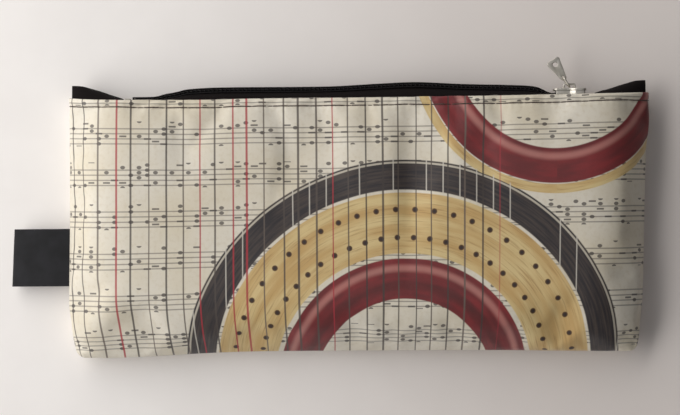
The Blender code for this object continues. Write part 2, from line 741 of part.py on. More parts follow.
def main():
    for old in list(bpy.data.objects):
        bpy.data.objects.remove(old)
    parts = bpy.data.collections.new("zip_pouch")
    guides = bpy.data.collections.new("guides")
    for collection in (parts, guides):
        bpy.context.scene.collection.children.link(collection)

    printed = material("printed_fabric", (0.75, 0.68, 0.50), 0.6)
    lining = material("lining_cloth", (0.05, 0.05, 0.05), 0.9)
    webbing = material("zip_webbing", (0.015, 0.012, 0.014), 0.85)
    nylon = material("zip_nylon", (0.02, 0.017, 0.02), 0.4)
    nickel = material("nickel", (0.62, 0.60, 0.56), 0.25, 1.0)
    thread = material("sewing_thread", (0.10, 0.07, 0.05), 0.8)
    ribbon = material("woven_ribbon", (0.012, 0.012, 0.014), 0.8)

    pouch_layer("front_panel", 1, 0.0, FABRIC_THICKNESS, 0.0, parts, printed)
    pouch_layer("back_panel", -1, 0.0, FABRIC_THICKNESS, 0.0, parts, printed)
    pouch_layer("front_lining", 1, LINING_INSET, LINING_THICKNESS, LINING_DROP, parts, lining)
    pouch_layer("back_lining", -1, LINING_INSET, LINING_THICKNESS, LINING_DROP, parts, lining)
    zip_tape("zip_tape_front", 1, parts, webbing)
    zip_tape("zip_tape_back", -1, parts, webbing)
    zip_coil("zip_coil_front", 1, parts, nylon)
    zip_coil("zip_coil_back", -1, parts, nylon)
    zip_stops(parts, nickel)
    slider(parts, guides, nickel)
    pull_link(parts, nickel)
    pull_tab(parts, nickel)
    topstitch("topstitch_front", 1, parts, thread)
    topstitch("topstitch_back", -1, parts, thread)
    seam_threads(parts, thread)
    side_tag(parts, ribbon)


main()
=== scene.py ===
import json
import math

import bmesh
import bpy
import numpy as np
from mathutils import Matrix, Vector, noise


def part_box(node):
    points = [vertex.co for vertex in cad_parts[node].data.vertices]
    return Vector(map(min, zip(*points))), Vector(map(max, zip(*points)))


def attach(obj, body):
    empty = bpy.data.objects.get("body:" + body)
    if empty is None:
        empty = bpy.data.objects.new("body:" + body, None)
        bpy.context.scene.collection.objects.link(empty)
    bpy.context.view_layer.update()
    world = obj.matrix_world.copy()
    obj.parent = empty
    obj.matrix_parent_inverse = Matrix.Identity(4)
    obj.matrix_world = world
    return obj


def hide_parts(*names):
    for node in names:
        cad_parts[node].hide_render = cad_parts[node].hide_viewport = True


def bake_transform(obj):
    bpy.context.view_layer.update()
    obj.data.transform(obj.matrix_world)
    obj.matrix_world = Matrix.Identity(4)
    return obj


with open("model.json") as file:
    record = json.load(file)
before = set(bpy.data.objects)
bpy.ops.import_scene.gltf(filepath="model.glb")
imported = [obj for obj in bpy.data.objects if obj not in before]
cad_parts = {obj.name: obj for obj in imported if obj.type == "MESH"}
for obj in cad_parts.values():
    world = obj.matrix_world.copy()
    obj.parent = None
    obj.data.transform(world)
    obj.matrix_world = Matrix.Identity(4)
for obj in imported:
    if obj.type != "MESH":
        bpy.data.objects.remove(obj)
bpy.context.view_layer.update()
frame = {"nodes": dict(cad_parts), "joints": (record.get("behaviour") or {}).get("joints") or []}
scene = bpy.context.scene
mm = 0.001
scratchDepth = 0.02 * mm
weldDistance = 0.001 * mm


def boxOf(node):
    low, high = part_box(node)
    return np.array(low), np.array(high)


# Shader and geometry trees

def maths(operation, flipped=False):
    # a method that adds one Math node. A reflected operator has its two values swapped
    def method(self, *others):
        values = [*others, self] if flipped else [self, *others]
        return self.bench.add("ShaderNodeMath", {"operation": operation}, values)

    return method


class Wire:
    # a node's output that does sums: each operator adds a Math node
    def __init__(self, bench, socket):
        self.bench = bench
        self.socket = socket

    __add__, __radd__ = maths("ADD"), maths("ADD", True)
    __sub__, __rsub__ = maths("SUBTRACT"), maths("SUBTRACT", True)
    __mul__, __rmul__ = maths("MULTIPLY"), maths("MULTIPLY", True)
    __truediv__, __rtruediv__ = maths("DIVIDE"), maths("DIVIDE", True)
    __pow__, __abs__ = maths("POWER"), maths("ABSOLUTE")
    __lt__, __gt__ = maths("LESS_THAN"), maths("GREATER_THAN")
    floor, fract, sin, root = maths("FLOOR"), maths("FRACT"), maths("SINE"), maths("SQRT")
    least, turnFrom = maths("MINIMUM"), maths("ARCTAN2")

    def fade(self, low, high):
        # 0 at low, 1 at high, smooth between them
        how = {"interpolation_type": "SMOOTHSTEP"}
        return self.bench.add("ShaderNodeMapRange", how, [self, low, high, 0.0, 1.0])

    def band(self, middle, halfWidth, edge):
        # 1 on a band, with soft edges
        return 1 - abs(self - middle).fade(halfWidth - edge, halfWidth + edge)

    def out(self, name):
        return Wire(self.bench, self.socket.node.outputs[name])


class Bench:
    # adds nodes to a tree: type, settings first, then the values or links of its sockets
    def __init__(self, tree):
        self.tree = tree

    def put(self, socket, value):
        if isinstance(value, Wire):
            self.tree.links.new(value.socket, socket)
        else:
            socket.default_value = value

    def add(self, kind, settings=None, values=(), output=0):
        node = self.tree.nodes.new(kind)
        for name, value in (settings or {}).items():
            setattr(node, name, value)
        pairs = values.items() if isinstance(values, dict) else enumerate(values)
        for key, value in pairs:
            self.put(node.inputs[key], value)
        return Wire(self, node.outputs[output])

    def vector(self, x=0.0, y=0.0, z=0.0):
        return self.add("ShaderNodeCombineXYZ", None, [x, y, z])

    def parts(self, vector):
        split = self.add("ShaderNodeSeparateXYZ", None, [vector])
        return split, split.out("Y"), split.out("Z")


class Finish(Bench):
    # one material
    def __init__(self, name):
        self.material = bpy.data.materials.new(name)
        self.material.use_nodes = True
        super().__init__(self.material.node_tree)
        self.tree.nodes.clear()
        self.shader = self.tree.nodes.new("ShaderNodeBsdfPrincipled")
        surface = self.tree.nodes.new("ShaderNodeOutputMaterial")
        self.tree.links.new(self.shader.outputs[0], surface.inputs[0])

    def surface(self, **sockets):
        for name, value in sockets.items():
            self.put(self.shader.inputs[name.replace("_", " ")], value)
        return self.material

    def mix(self, factor, first, second):
        return self.add("ShaderNodeMix", {"data_type": "RGBA"}, {0: factor, 6: first, 7: second}, 2)

    def place(self):
        return self.add("ShaderNodeTexCoord", None, (), "Object")

    def cloth(self):
        # u along the pouch and v up it, in millimetres of cloth, and both as a place
        u, v, _ = self.parts(self.add("ShaderNodeUVMap", {"uv_map": "cloth"}))
        u, v = u / mm, v / mm
        return u, v, self.vector(u, v, 0.0)

    def noise(self, vector, scale, detail=2.0, rough=0.5):
        values = {"Vector": vector, "Scale": scale, "Detail": detail, "Roughness": rough}
        return self.add("ShaderNodeTexNoise", None, values)

    def chance(self, x, y):
        # a fixed random number from 0 to 1 for each whole x and y
        cell = self.vector(x, y, 0.0)
        return self.add("ShaderNodeTexWhiteNoise", {"noise_dimensions": "2D"}, [cell])

    def bump(self, height, distance, strength=1.0, normal=None):
        values = {"Strength": strength, "Distance": distance, "Height": height}
        if normal:
            values["Normal"] = normal
        return self.add("ShaderNodeBump", None, values)


def tone(red, green, blue):
    # a screen colour from 0 to 255 as the linear colour that a socket takes
    linear = []
    for part in (red, green, blue):
        part /= 255
        linear.append(part / 12.92 if part <= 0.04045 else ((part + 0.055) / 1.055) ** 2.4)
    return (*linear, 1.0)


def placed(name, data):
    made = bpy.data.objects.new(name, data)
    scene.collection.objects.link(made)
    return made


def meshOf(thing):
    # a plain mesh of an object as its modifiers or its curve make it
    bpy.context.view_layer.update()
    graph = bpy.context.evaluated_depsgraph_get()
    return bpy.data.meshes.new_from_object(thing.evaluated_get(graph), depsgraph=graph)


class Recipe(Bench):
    # one Geometry Nodes tree with named inputs, worked over a path object and made a plain mesh
    def __init__(self, name, inputs):
        super().__init__(bpy.data.node_groups.new(name, "GeometryNodeTree"))
        face = self.tree.interface
        face.new_socket("Path", in_out="INPUT", socket_type="NodeSocketGeometry")
        kinds = {float: "NodeSocketFloat", int: "NodeSocketInt"}
        for label, value in inputs.items():
            face.new_socket(label, in_out="INPUT", socket_type=kinds[type(value)]).default_value = value
        face.new_socket("Finish", in_out="INPUT", socket_type="NodeSocketMaterial")
        face.new_socket("Mesh", in_out="OUTPUT", socket_type="NodeSocketGeometry")
        self.given = self.tree.nodes.new("NodeGroupInput")
        self.result = self.tree.nodes.new("NodeGroupOutput")

    def input(self, label):
        return Wire(self, self.given.outputs[label])

    def ring(self, diameter):
        values = {"Resolution": 6, "Radius": diameter / 2}
        return self.add("GeometryNodeCurvePrimitiveCircle", {"mode": "RADIUS"}, values)

    def row(self, shape, towards, across, least):
        # the shape at every point of the path, with its X towards one of the path's vectors,
        # its Z across to the other, and its size drawn from least to 1
        vectors = {"data_type": "FLOAT_VECTOR"}
        first = self.add("GeometryNodeInputNamedAttribute", vectors, {"Name": towards})
        second = self.add("GeometryNodeInputNamedAttribute", vectors, {"Name": across})
        turn = self.add("FunctionNodeAlignRotationToVector", {"axis": "X"}, {"Vector": first})
        axes = {"axis": "Z", "pivot_axis": "X"}
        turn = self.add("FunctionNodeAlignRotationToVector", axes, {"Rotation": turn, "Vector": second})
        draw = {2: least, 3: 1.0, 8: self.input("Seed")}
        size = self.add("FunctionNodeRandomValue", {"data_type": "FLOAT"}, draw, 1)
        values = {"Points": self.input("Path"), "Instance": shape, "Rotation": turn, "Scale": size}
        self.close(self.add("GeometryNodeInstanceOnPoints", None, values))

    def close(self, geometry):
        smoothed = self.add("GeometryNodeSetShadeSmooth", None, {"Geometry": geometry})
        real = self.add("GeometryNodeRealizeInstances", None, {"Geometry": smoothed})
        values = {"Geometry": real, "Material": self.input("Finish")}
        self.put(self.result.inputs["Mesh"], self.add("GeometryNodeSetMaterial", None, values))

    def bake(self, name, path, finish, **values):
        modifier = path.modifiers.new(name, "NODES")
        modifier.node_group = self.tree
        keys = {item.name: item.identifier for item in self.tree.interface.items_tree}
        modifier[keys["Finish"]] = finish
        for label, value in values.items():
            modifier[keys[label]] = value
        mesh = meshOf(path)
        bpy.data.objects.remove(path)
        return placed(name, mesh)


def newMesh(name, points, faces, finish=None):
    mesh = bpy.data.meshes.new(name)
    mesh.from_pydata([tuple(p) for p in points], [], [tuple(f) for f in faces])
    mesh.validate()
    if finish:
        mesh.materials.append(finish)
    mesh.shade_smooth()
    return placed(name, mesh)


def clothMap(piece, uv):
    # the cloth's own map, one pair a vertex
    layer = piece.data.uv_layers.new(name="cloth")
    corners = np.zeros(len(piece.data.loops), np.int32)
    piece.data.loops.foreach_get("vertex_index", corners)
    layer.data.foreach_set("uv", np.asarray(uv, np.float32)[corners].ravel())


def modify(piece, kind, **settings):
    modifier = piece.modifiers.new(kind.lower(), kind)
    for name, value in settings.items():
        setattr(modifier, name, value)
    return modifier


def gridFaces(index, flip):
    # a quad in each cell of a grid of point numbers
    faces = []
    for i in range(index.shape[0] - 1):
        for j in range(index.shape[1] - 1):
            quad = (index[i, j], index[i + 1, j], index[i + 1, j + 1], index[i, j + 1])
            faces.append(quad[::-1] if flip else quad)
    return faces


def softenEdges(piece, width, angle, segments=2):
    limit = math.radians(angle)
    modify(piece, "BEVEL", width=width, segments=segments, limit_method="ANGLE", angle_limit=limit)


def thicken(piece, thickness):
    # inwards from the outer face
    modify(piece, "SOLIDIFY", thickness=thickness, offset=-1, use_even_offset=True)


def settle(piece):
    # applies every modifier
    mesh = meshOf(piece)
    piece.modifiers.clear()
    piece.data = mesh
    return piece


def hold(piece, body, slot, *replaced):
    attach(piece, body)
    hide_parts(*replaced)


# The pouch's shape, as the CAD part has it

pouch = {
    "halfWidth": 110 * mm,
    "mouthY": 49 * mm,
    "height": 98 * mm,
    "thickness": 18.5 * mm,
    "seamHeight": 6.5 * mm,
    "mouthFront": 16.2 * mm,
    "mouthBack": 1.6 * mm,
    "mouthSlope": 16 * mm,
    "frontSideRound": 24 * mm,
    "frontBottomRound": 22 * mm,
    "backSideRound": 12 * mm,
    "backBottomRound": 14 * mm,
    "bottomLift": 1.5 * mm,
    "mouthSag": 1.3 * mm,
    "leftPinch": 2.1 * mm,
    "rightPinch": 5.4 * mm,
    "dome": ((0.0, 0.93), (0.25, 0.97), (0.5, 1.0), (0.75, 0.985)),
    "lift": (
        (-1, -0.4), (-0.86, -0.5), (-0.72, -0.2), (-0.55, 0.4), (-0.38, 0.72),
        (-0.2, 0.72), (0.2, 0.6), (0.48, 0.45), (0.83, 0), (1, -0.1),
    ),
    "sag": (
        (-1, 0), (-0.93, 0.48), (-0.75, 0.84), (-0.52, 1), (-0.38, 0.8),
        (0, 0.77), (0.36, 0.67), (0.62, 0.48), (1, 0),
    ),
    "leftDrawn": ((0, 1), (0.1, 0.2), (0.22, -0.35), (0.5, -0.15), (0.88, 0), (1, 0)),
    "rightDrawn": ((0, 1), (0.2, 0.58), (0.35, 0.46), (0.78, 0.2), (0.88, 0), (1, 0)),
}
bottomY = pouch["mouthY"] - pouch["height"]


def smooth(t):
    t = np.clip(t, 0, 1)
    return t * t * (3 - 2 * t)


def along(shares, place):
    # a smooth curve through a table of (place, value)
    xs, ys = np.array(shares, float).T
    place = np.clip(place, xs[0], xs[-1])
    k = np.clip(np.searchsorted(xs, place, side="right") - 1, 0, len(xs) - 2)
    before, after = np.maximum(k - 1, 0), np.minimum(k + 2, len(xs) - 1)
    run = xs[k + 1] - xs[k]
    slope0 = (ys[k + 1] - ys[before]) / (xs[k + 1] - xs[before]) * run
    slope1 = (ys[after] - ys[k]) / (xs[after] - xs[k]) * run
    t = (place - xs[k]) / run
    ends = ys[k] * (1 + 2 * t) * (1 - t) ** 2 + ys[k + 1] * t * t * (3 - 2 * t)
    return ends + slope0 * t * (1 - t) ** 2 + slope1 * t * t * (t - 1)


def roundRise(distance, length):
    # quarter ellipse: 0 at an edge, 1 from the given length on
    t = np.clip(distance / length, 0, 1)
    return np.sqrt(1 - (1 - t) ** 2)


def mouthSag(x):
    # how far the mouth's edge hangs below the straight line between its corners
    return pouch["mouthSag"] * along(pouch["sag"], x / pouch["halfWidth"])


def outlinePoint(across, up):
    # world X and Y of a place across from the middle line and up from the bottom seam
    share = up / pouch["height"]
    left = pouch["leftPinch"] * along(pouch["leftDrawn"], share)
    right = pouch["rightPinch"] * along(pouch["rightDrawn"], share)
    x = across * (1 - np.where(across < 0, left, right) / pouch["halfWidth"])
    lift = pouch["bottomLift"] * along(pouch["lift"], across / pouch["halfWidth"])
    return x, bottomY + up + lift * (1 - share) ** 2 - mouthSag(across) * share**2


def sideHeight(side, across, up, inset, base):
    # the outer face of a layer of the front (side 1) or the back (side -1)
    rounds = ("frontSideRound", "frontBottomRound") if side > 0 else ("backSideRound", "backBottomRound")
    sideways = roundRise(pouch["halfWidth"] - inset - abs(across), pouch[rounds[0]] - inset)
    upwards = roundRise(up - inset, pouch[rounds[1]] - inset)
    if side > 0:
        reach = pouch["thickness"] - pouch["seamHeight"]
        mouthShare = (pouch["mouthFront"] - pouch["seamHeight"]) / reach
        share = along((*pouch["dome"], (1.0, mouthShare)), up / pouch["height"])
        top = pouch["seamHeight"] + reach * share - inset
    else:
        slope = np.maximum(up - pouch["height"] + pouch["mouthSlope"], 0) / pouch["mouthSlope"]
        top = inset + pouch["mouthBack"] * slope
    return base + (top - base) * sideways * upwards


# Cloth layers

cloth = {
    "column": 2.0 * mm,
    "row": 2.0 * mm,
    "turnSteps": 13,
    "corner": 3.0 * mm,
    "thickness": 0.32 * mm,
    "hemRadius": 0.33 * mm,
    "hemDepth": 7.0 * mm,
    "seamRadius": 0.5 * mm,
    "seamGap": 0.05 * mm,
    "seamFlap": 1.3 * mm,
    "stitchDrop": 3.2 * mm,
    "grooveDepth": 0.28 * mm,
    "grooveWidth": 0.8 * mm,
    "hemRise": 0.14 * mm,
    "hemRow": 0.6 * mm,
    "stitchLift": 0.12 * mm,
    "threadShare": 0.55,
    "tableClear": 0.02 * mm,
}


def steps(low, high, size):
    count = max(round((high - low) / size), 1)
    return np.linspace(low, high, count + 1)


def runLength(points):
    # how far along the line each of its points lies
    return np.concatenate([[0], np.cumsum(np.linalg.norm(np.diff(points, axis=0), axis=1))])


def turned(length, count):
    # places from 0 to length, close together where the cloth turns down to a seam
    return length * (1 - np.cos(math.pi / 2 * np.arange(count) / count))


class Layer:
    # a grid of cloth over one side of the pouch, from the seams up to the mouth
    def __init__(self, side, inset, drop, base):
        self.side = side
        half = pouch["halfWidth"] - inset
        turn = turned(pouch["frontSideRound"] - inset, cloth["turnSteps"])
        flat = half - pouch["frontSideRound"] + inset
        left = turn - half
        self.across = np.concatenate([left, steps(-flat, flat, cloth["column"]), -left[::-1]])
        turn = inset + turned(pouch["frontBottomRound"] - inset, cloth["turnSteps"])
        stitch = pouch["height"] - cloth["stitchDrop"]
        wide = cloth["grooveWidth"]
        top = pouch["height"] - drop
        middle = steps(pouch["frontBottomRound"], min(stitch, top) - 2 * wide, cloth["row"])
        self.up = np.concatenate([turn, middle])
        if drop < cloth["stitchDrop"]:
            near = stitch + wide * np.array([-1.2, -0.6, 0.0, 0.6, 1.2])
            hem = steps(near[-1] + 0.5 * wide, top, cloth["hemRow"])
            self.up = np.concatenate([self.up, near, hem])
        else:
            self.up = np.append(self.up, top)
        place, rise = np.meshgrid(self.across, self.up, indexing="ij")
        x, y = outlinePoint(place, rise)
        x, y = self.roundCorners(x, y, place, rise, half, inset)
        z = sideHeight(side, place, rise, inset, base)
        self.points = np.stack([x, y, z], -1)
        self.rise = rise

    def roundCorners(self, x, y, place, rise, half, inset):
        # each bottom corner is drawn onto an arc
        size = cloth["corner"]
        a = np.clip((abs(place) - half + size) / size, 0, 1)
        b = np.clip((size + inset - rise) / size, 0, 1)
        x = x + np.sign(place) * size * a * (np.sqrt(1 - b * b / 2) - 1)
        y = y - size * b * (np.sqrt(1 - a * a / 2) - 1)
        return x, y

    def normals(self):
        across = np.gradient(self.points, axis=0)
        up = np.gradient(self.points, axis=1)
        normal = np.cross(across, up) * self.side
        return normal / np.maximum(np.linalg.norm(normal, axis=-1, keepdims=True), 1e-9)

    def lengths(self):
        # metres of cloth along the middle row and up the middle column
        u = runLength(self.points[:, self.points.shape[1] // 2])
        v = runLength(self.points[self.points.shape[0] // 2])
        return u - u[-1] / 2, pouch["mouthY"] - v[-1] + v

    def ring(self):
        # grid places round the seams: down the left side, along the bottom, up the right side
        columns, rows = self.points.shape[:2]
        left = [(0, j) for j in range(rows - 1, 0, -1)]
        bottom = [(i, 0) for i in range(columns)]
        right = [(columns - 1, j) for j in range(1, rows)]
        return left + bottom + right

    def piece(self, name, finish, hemmed):
        columns, rows = self.points.shape[:2]
        points = list(self.points.reshape(-1, 3))
        u, v = self.lengths()
        maps = [(u[i], v[j]) for i in range(columns) for j in range(rows)]
        index = np.arange(columns * rows).reshape(columns, rows)
        faces = []

        def strip(first, second):
            for k in range(len(first) - 1):
                quad = (first[k], first[k + 1], second[k + 1], second[k])
                faces.append(quad if self.side > 0 else quad[::-1])

        def add(newPoints, newMaps):
            start = len(points)
            points.extend(newPoints)
            maps.extend(newMaps)
            return list(range(start, len(points)))

        for j in range(rows - 1):
            strip(index[:, j], index[:, j + 1])
        self.turnSeam(points, maps, index, strip, add)
        if hemmed:
            self.turnHem(maps, index, strip, add)
        made = newMesh(name, points, faces, finish)
        clothMap(made, maps)
        return made

    def turnSeam(self, points, maps, index, strip, add):
        # the seam allowance goes in over a small round and lies flat
        ring = self.ring()
        last = [index[place] for place in ring]
        edge = np.array([self.points[place] for place in ring])
        run = np.gradient(edge[:, :2], axis=0)
        inward = np.stack([-run[:, 1], run[:, 0]], -1)
        inward /= np.linalg.norm(inward, axis=1, keepdims=True)
        radius = cloth["seamRadius"]
        turns = [math.radians(a) for a in (30, 60, 90)]
        profile = [(radius * (1 - math.cos(a)), radius * math.sin(a)) for a in turns]
        profile += [(radius + cloth["seamFlap"] * share, radius) for share in (0.5, 1.0)]
        for inset, drop in profile:
            moved = edge.copy()
            moved[:, :2] += inward * inset
            moved[:, 2] -= self.side * drop
            far = inset + drop
            places = [maps[index[place]] for place in ring]
            fresh = add(moved, [(u - d[0] * far, v - d[1] * far) for (u, v), d in zip(places, inward)])
            strip(fresh, last)
            last = fresh

    def turnHem(self, maps, index, strip, add):
        # the top edge is folded in and held under the topstitch
        top = self.points[:, -1]
        normal = self.normals()[:, -1]
        rise = top - self.points[:, -2]
        rise /= np.linalg.norm(rise, axis=1, keepdims=True)
        radius = cloth["hemRadius"]
        last = list(index[:, -1])
        for angle in (30, 60, 90, 120, 150, 180):
            a = math.radians(angle)
            moved = top + rise * radius * math.sin(a) + normal * radius * (math.cos(a) - 1)
            uv = [(maps[k][0], maps[k][1] + radius * a) for k in index[:, -1]]
            fresh = add(moved, uv)
            strip(last, fresh)
            last = fresh
        reach = pouch["height"] - self.up
        for j in range(len(self.up) - 2, 0, -1):
            if reach[j] > cloth["hemDepth"]:
                break
            moved = self.points[:, j] - self.normals()[:, j] * 2 * radius
            uv = [(maps[k][0], maps[k][1] + radius * math.pi + reach[j]) for k in index[:, -1]]
            fresh = add(moved, uv)
            strip(last, fresh)
            last = fresh


def relief(layer):
    # the groove that the topstitch draws in, and the fuller hem above it
    above = layer.rise - (pouch["height"] - cloth["stitchDrop"])
    groove = cloth["grooveDepth"] * np.exp(-((above / cloth["grooveWidth"]) ** 2))
    hem = cloth["hemRise"] * smooth(above / cloth["grooveWidth"])
    layer.points += layer.normals() * (hem - groove)[..., None]


bagSettings = {
    "frames": 20,
    "cap": 1.5 * mm,
    "ripple": 0.12 * mm,
    "rippleScale": 60.0,
    "cloth": {
        "quality": 6,
        "mass": 0.25,
        "tension_stiffness": 30,
        "compression_stiffness": 20,
        "bending_stiffness": 1.2,
        "shrink_min": -0.012,
        "use_pressure": True,
        "uniform_pressure_force": 0.9,
        "vertex_group_mass": "sewn",
    },
}


def simulateSlack(front, back):
    # both panels as one closed bag, sewn down at the seams and the mouth, filled a little
    columns, rows = front.points.shape[:2]
    count = columns * rows
    start = np.concatenate([front.points.reshape(-1, 3), back.points.reshape(-1, 3)])
    rough = start.copy()
    for k, p in enumerate(rough):
        p[2] += bagSettings["ripple"] * noise.noise(Vector(p) * bagSettings["rippleScale"])
    index = np.arange(count).reshape(columns, rows)
    faces = []
    for above, below in zip(gridFaces(index, False), gridFaces(index + count, True)):
        faces += [above, below]
    rim = [index[place] for place in front.ring()]
    rim += [index[i, rows - 1] for i in range(columns - 2, -1, -1)]
    for k in range(len(rim) - 1):
        faces.append((rim[k], rim[k + 1], count + rim[k + 1], count + rim[k]))
    bag = newMesh("bag", rough, faces)
    held = sorted(set(rim))
    pins = bag.vertex_groups.new(name="sewn")
    pins.add([int(k) for k in held] + [int(k) + count for k in held], 1.0, "REPLACE")
    modifier = modify(bag, "CLOTH")
    for name, value in bagSettings["cloth"].items():
        setattr(modifier.settings, name, value)
    modifier.settings.effector_weights.gravity = 0.0
    modifier.collision_settings.use_collision = False
    modifier.point_cache.frame_start = 1
    modifier.point_cache.frame_end = bagSettings["frames"]
    for number in range(1, bagSettings["frames"] + 1):
        scene.frame_set(number)
    graph = bpy.context.evaluated_depsgraph_get()
    after = bag.evaluated_get(graph).to_mesh()
    moved = np.zeros(2 * count * 3, np.float32)
    after.vertices.foreach_get("co", moved)
    scene.frame_set(1)
    bpy.data.objects.remove(bag)
    shift = moved.reshape(-1, 3).astype(float) - start
    size = np.linalg.norm(shift, axis=1, keepdims=True)
    shift *= bagSettings["cap"] * np.tanh(size / bagSettings["cap"]) / np.maximum(size, 1e-9)
    print("slack: moved by up to", round(float(np.abs(shift).max()) / mm, 2), "mm")
    shift = np.round(shift, 6)
    return shift[:count].reshape(columns, rows, 3), shift[count:].reshape(columns, rows, 3)


class Slack:
    # how far the simulation moved one side's cloth, at any place across and up it
    def __init__(self, layer, shift):
        self.layer = layer
        self.shift = shift

    def at(self, across, up):
        layer, shift = self.layer, self.shift
        column = np.interp(across, layer.across, np.arange(len(layer.across)))
        row = np.interp(up, layer.up, np.arange(len(layer.up)))
        i = np.minimum(column.astype(int), len(layer.across) - 2)
        j = np.minimum(row.astype(int), len(layer.up) - 2)
        a, b = (column - i)[..., None], (row - j)[..., None]
        low = shift[i, j] * (1 - a) + shift[i + 1, j] * a
        high = shift[i, j + 1] * (1 - a) + shift[i + 1, j + 1] * a
        return low * (1 - b) + high * b


# Printed cloth

# in millimetres of cloth, with the bumps' depths in metres. Arches are (radius, half width),
# stud rows are (radius, spacing), and other pairs are where a soft edge begins and ends
printSizes = {
    "bandEvery": 15.5,
    "lineEvery": 1.9,
    "lines": 4,
    "lineHalf": 0.2,
    "cell": 3.1,
    "marksUpTo": 9.5,
    "beadRadius": (0.62, 0.8),
    "barHalfLength": (1.45, 1.25),
    "barHalfHeight": (0.4, 0.24),
    "stripeEvery": 6.3,
    "stripeHalf": 0.2,
    "stripesEnd": (58.0, 50.0),
    "archAt": (18.0, -60.0),
    "charcoalArch": (79.5, 5.6),
    "paleArch": (84.1, 0.35),
    "woodArch": (61.4, 11.4),
    "burgundyArch": (40.5, 7.6),
    "burgundyGloss": 44.5,
    "studRows": ((56.0, 6.2), (66.5, 7.4)),
    "hangingAt": (75.0, 66.0),
    "hangingArch": (44.0, 6.5),
    "hangingGloss": 40.5,
    "hangingRim": (52.6, 1.7),
    "hangingFrom": (84.6, 85.0),
    "weave": 0.48,
    "weaveDepth": 0.05 * mm,
    "crinkleDepth": 0.5 * mm,
    "puckerDepth": 0.15 * mm,
    "puckerReach": 4.0,
}


def weaveHeight(u, v, period):
    # plain weave: warp and weft take turns on top
    parity = (((u / period).floor() + (v / period).floor()) / 2).fract() * 2
    warp = abs((u * (math.pi / period)).sin())
    weft = abs((v * (math.pi / period)).sin())
    return warp * parity + weft * (1 - parity)


def printedFinish(name, isFront):
    finish = Finish(name)
    u, v, flat = finish.cloth()
    cloudy = finish.noise(flat, 0.035, 3.0).fade(0.35, 0.7)
    cream = finish.mix(cloudy, tone(233, 226, 211), tone(225, 215, 193))
    cream = finish.mix(finish.noise(flat, 0.6, 2.0).fade(0.45, 0.75) * 0.25, cream, tone(205, 190, 160))
    colour = ruledBands(finish, u, v, cream)
    if isFront:
        colour = archBands(finish, u, v, colour)
    colour = pinStripes(finish, u, v, colour, isFront)
    speck = finish.noise(flat, 4.0, 1.0)
    colour = finish.mix((speck - 0.5) * 0.12 + 0.06, colour, tone(120, 108, 92))
    weave = weaveHeight(u, v, printSizes["weave"])
    thread = finish.noise(finish.vector(u * 0.6, v * 6.0, 0.0), 1.0, 2.0)
    bump = finish.bump(weave * 0.7 + thread * 0.3, printSizes["weaveDepth"], 0.45)
    bump = finish.bump(finish.noise(flat, 0.12, 3.0), printSizes["crinkleDepth"], 0.22, bump)
    bump = finish.bump(stitchPucker(u, v), printSizes["puckerDepth"], 0.3, bump)
    worn = finish.noise(flat, 0.05, 4.0, 0.6)
    return finish.surface(
        Base_Color=colour,
        Roughness=0.42 + worn * 0.2,
        Normal=bump,
        Coat_Weight=0.12,
        Coat_Roughness=0.35,
        Sheen_Weight=0.08,
    )


def stitchPucker(u, v):
    # the cloth is drawn in a little at each stitch of the topstitch
    stitch = pouch["mouthY"] / mm - cloth["stitchDrop"] / mm
    near = 1 - abs(v - stitch).fade(0.2, printSizes["puckerReach"])
    return near * (u * (2 * math.pi / (stitchSizes["pitch"] / mm))).sin() * 0.5


def ruledBands(finish, u, v, under):
    # faint ruled bands across the ground, with beads and short bars on them
    row = v / printSizes["bandEvery"]
    within = row.fract() * printSizes["bandEvery"]
    line = ((within / printSizes["lineEvery"]).fract() - 0.5) * printSizes["lineEvery"]
    onBand = (within < printSizes["lines"] * printSizes["lineEvery"]) * 1.0
    ruled = (1 - abs(line).fade(printSizes["lineHalf"] * 0.5, printSizes["lineHalf"] * 1.8)) * onBand
    colour = finish.mix(ruled * 0.62, under, tone(96, 88, 84))
    # in every other column the marks stand between the lines
    cell = printSizes["cell"]
    column = (u / cell).floor()
    step = within / printSizes["lineEvery"] + (column / 2).fract()
    luck = finish.chance(column, step.floor() + row.floor() * 31)
    across = ((u / cell).fract() - 0.5) * cell
    rise = (step.fract() - 0.5) * printSizes["lineEvery"]
    reach = (across * across * 0.6 + rise * rise * 1.15).root()
    beads = (1 - reach.fade(*printSizes["beadRadius"])) * (luck > 0.8)
    bars = abs(across).fade(*printSizes["barHalfLength"]) * abs(rise).fade(*printSizes["barHalfHeight"])
    bars = bars * ((luck > 0.4) * (luck < 0.48))
    marks = (beads + bars).least(1.0) * ((within < printSizes["marksUpTo"]) * 1.0)
    return finish.mix(marks * 0.8, colour, tone(62, 56, 56))


def pinStripes(finish, u, v, under, isFront):
    # thin lines up the cloth, most of them dark, a few red or pale
    every, half = printSizes["stripeEvery"], printSizes["stripeHalf"]
    number = (u / every).floor()
    luck = finish.chance(number, 7.0)
    shift = (finish.chance(number, 3.0) - 0.5) * every * 0.25
    off = abs(((u / every).fract() - 0.5) * every + shift)
    width = half + finish.chance(number, 11.0) * 0.2
    stripe = 1 - (off - width).fade(-0.1, 0.12)
    colour = finish.mix(finish.chance(number, 5.0), tone(52, 46, 46), tone(104, 92, 84))
    colour = finish.mix(luck > 0.8, colour, tone(176, 42, 58))
    reach = u.fade(*printSizes["stripesEnd"])
    under = finish.mix(stripe * reach * (0.85 if isFront else 0.6), under, colour)
    if not isFront:
        return under
    between = u / every + 0.37
    pale = abs((between.fract() - 0.5) * every)
    pale = (1 - (pale - half).fade(-0.1, 0.16)) * (finish.chance(between.floor(), 9.0) > 0.35)
    dark = away(u, v, "archAt")[2].band(printSizes["charcoalArch"][0], 6.0, 0.6)
    return finish.mix(pale * dark * 0.8, under, tone(214, 208, 196))


def away(u, v, centre):
    # offsets and distance from a centre
    du, dv = u - printSizes[centre][0], v - printSizes[centre][1]
    return du, dv, (du * du + dv * dv).root()


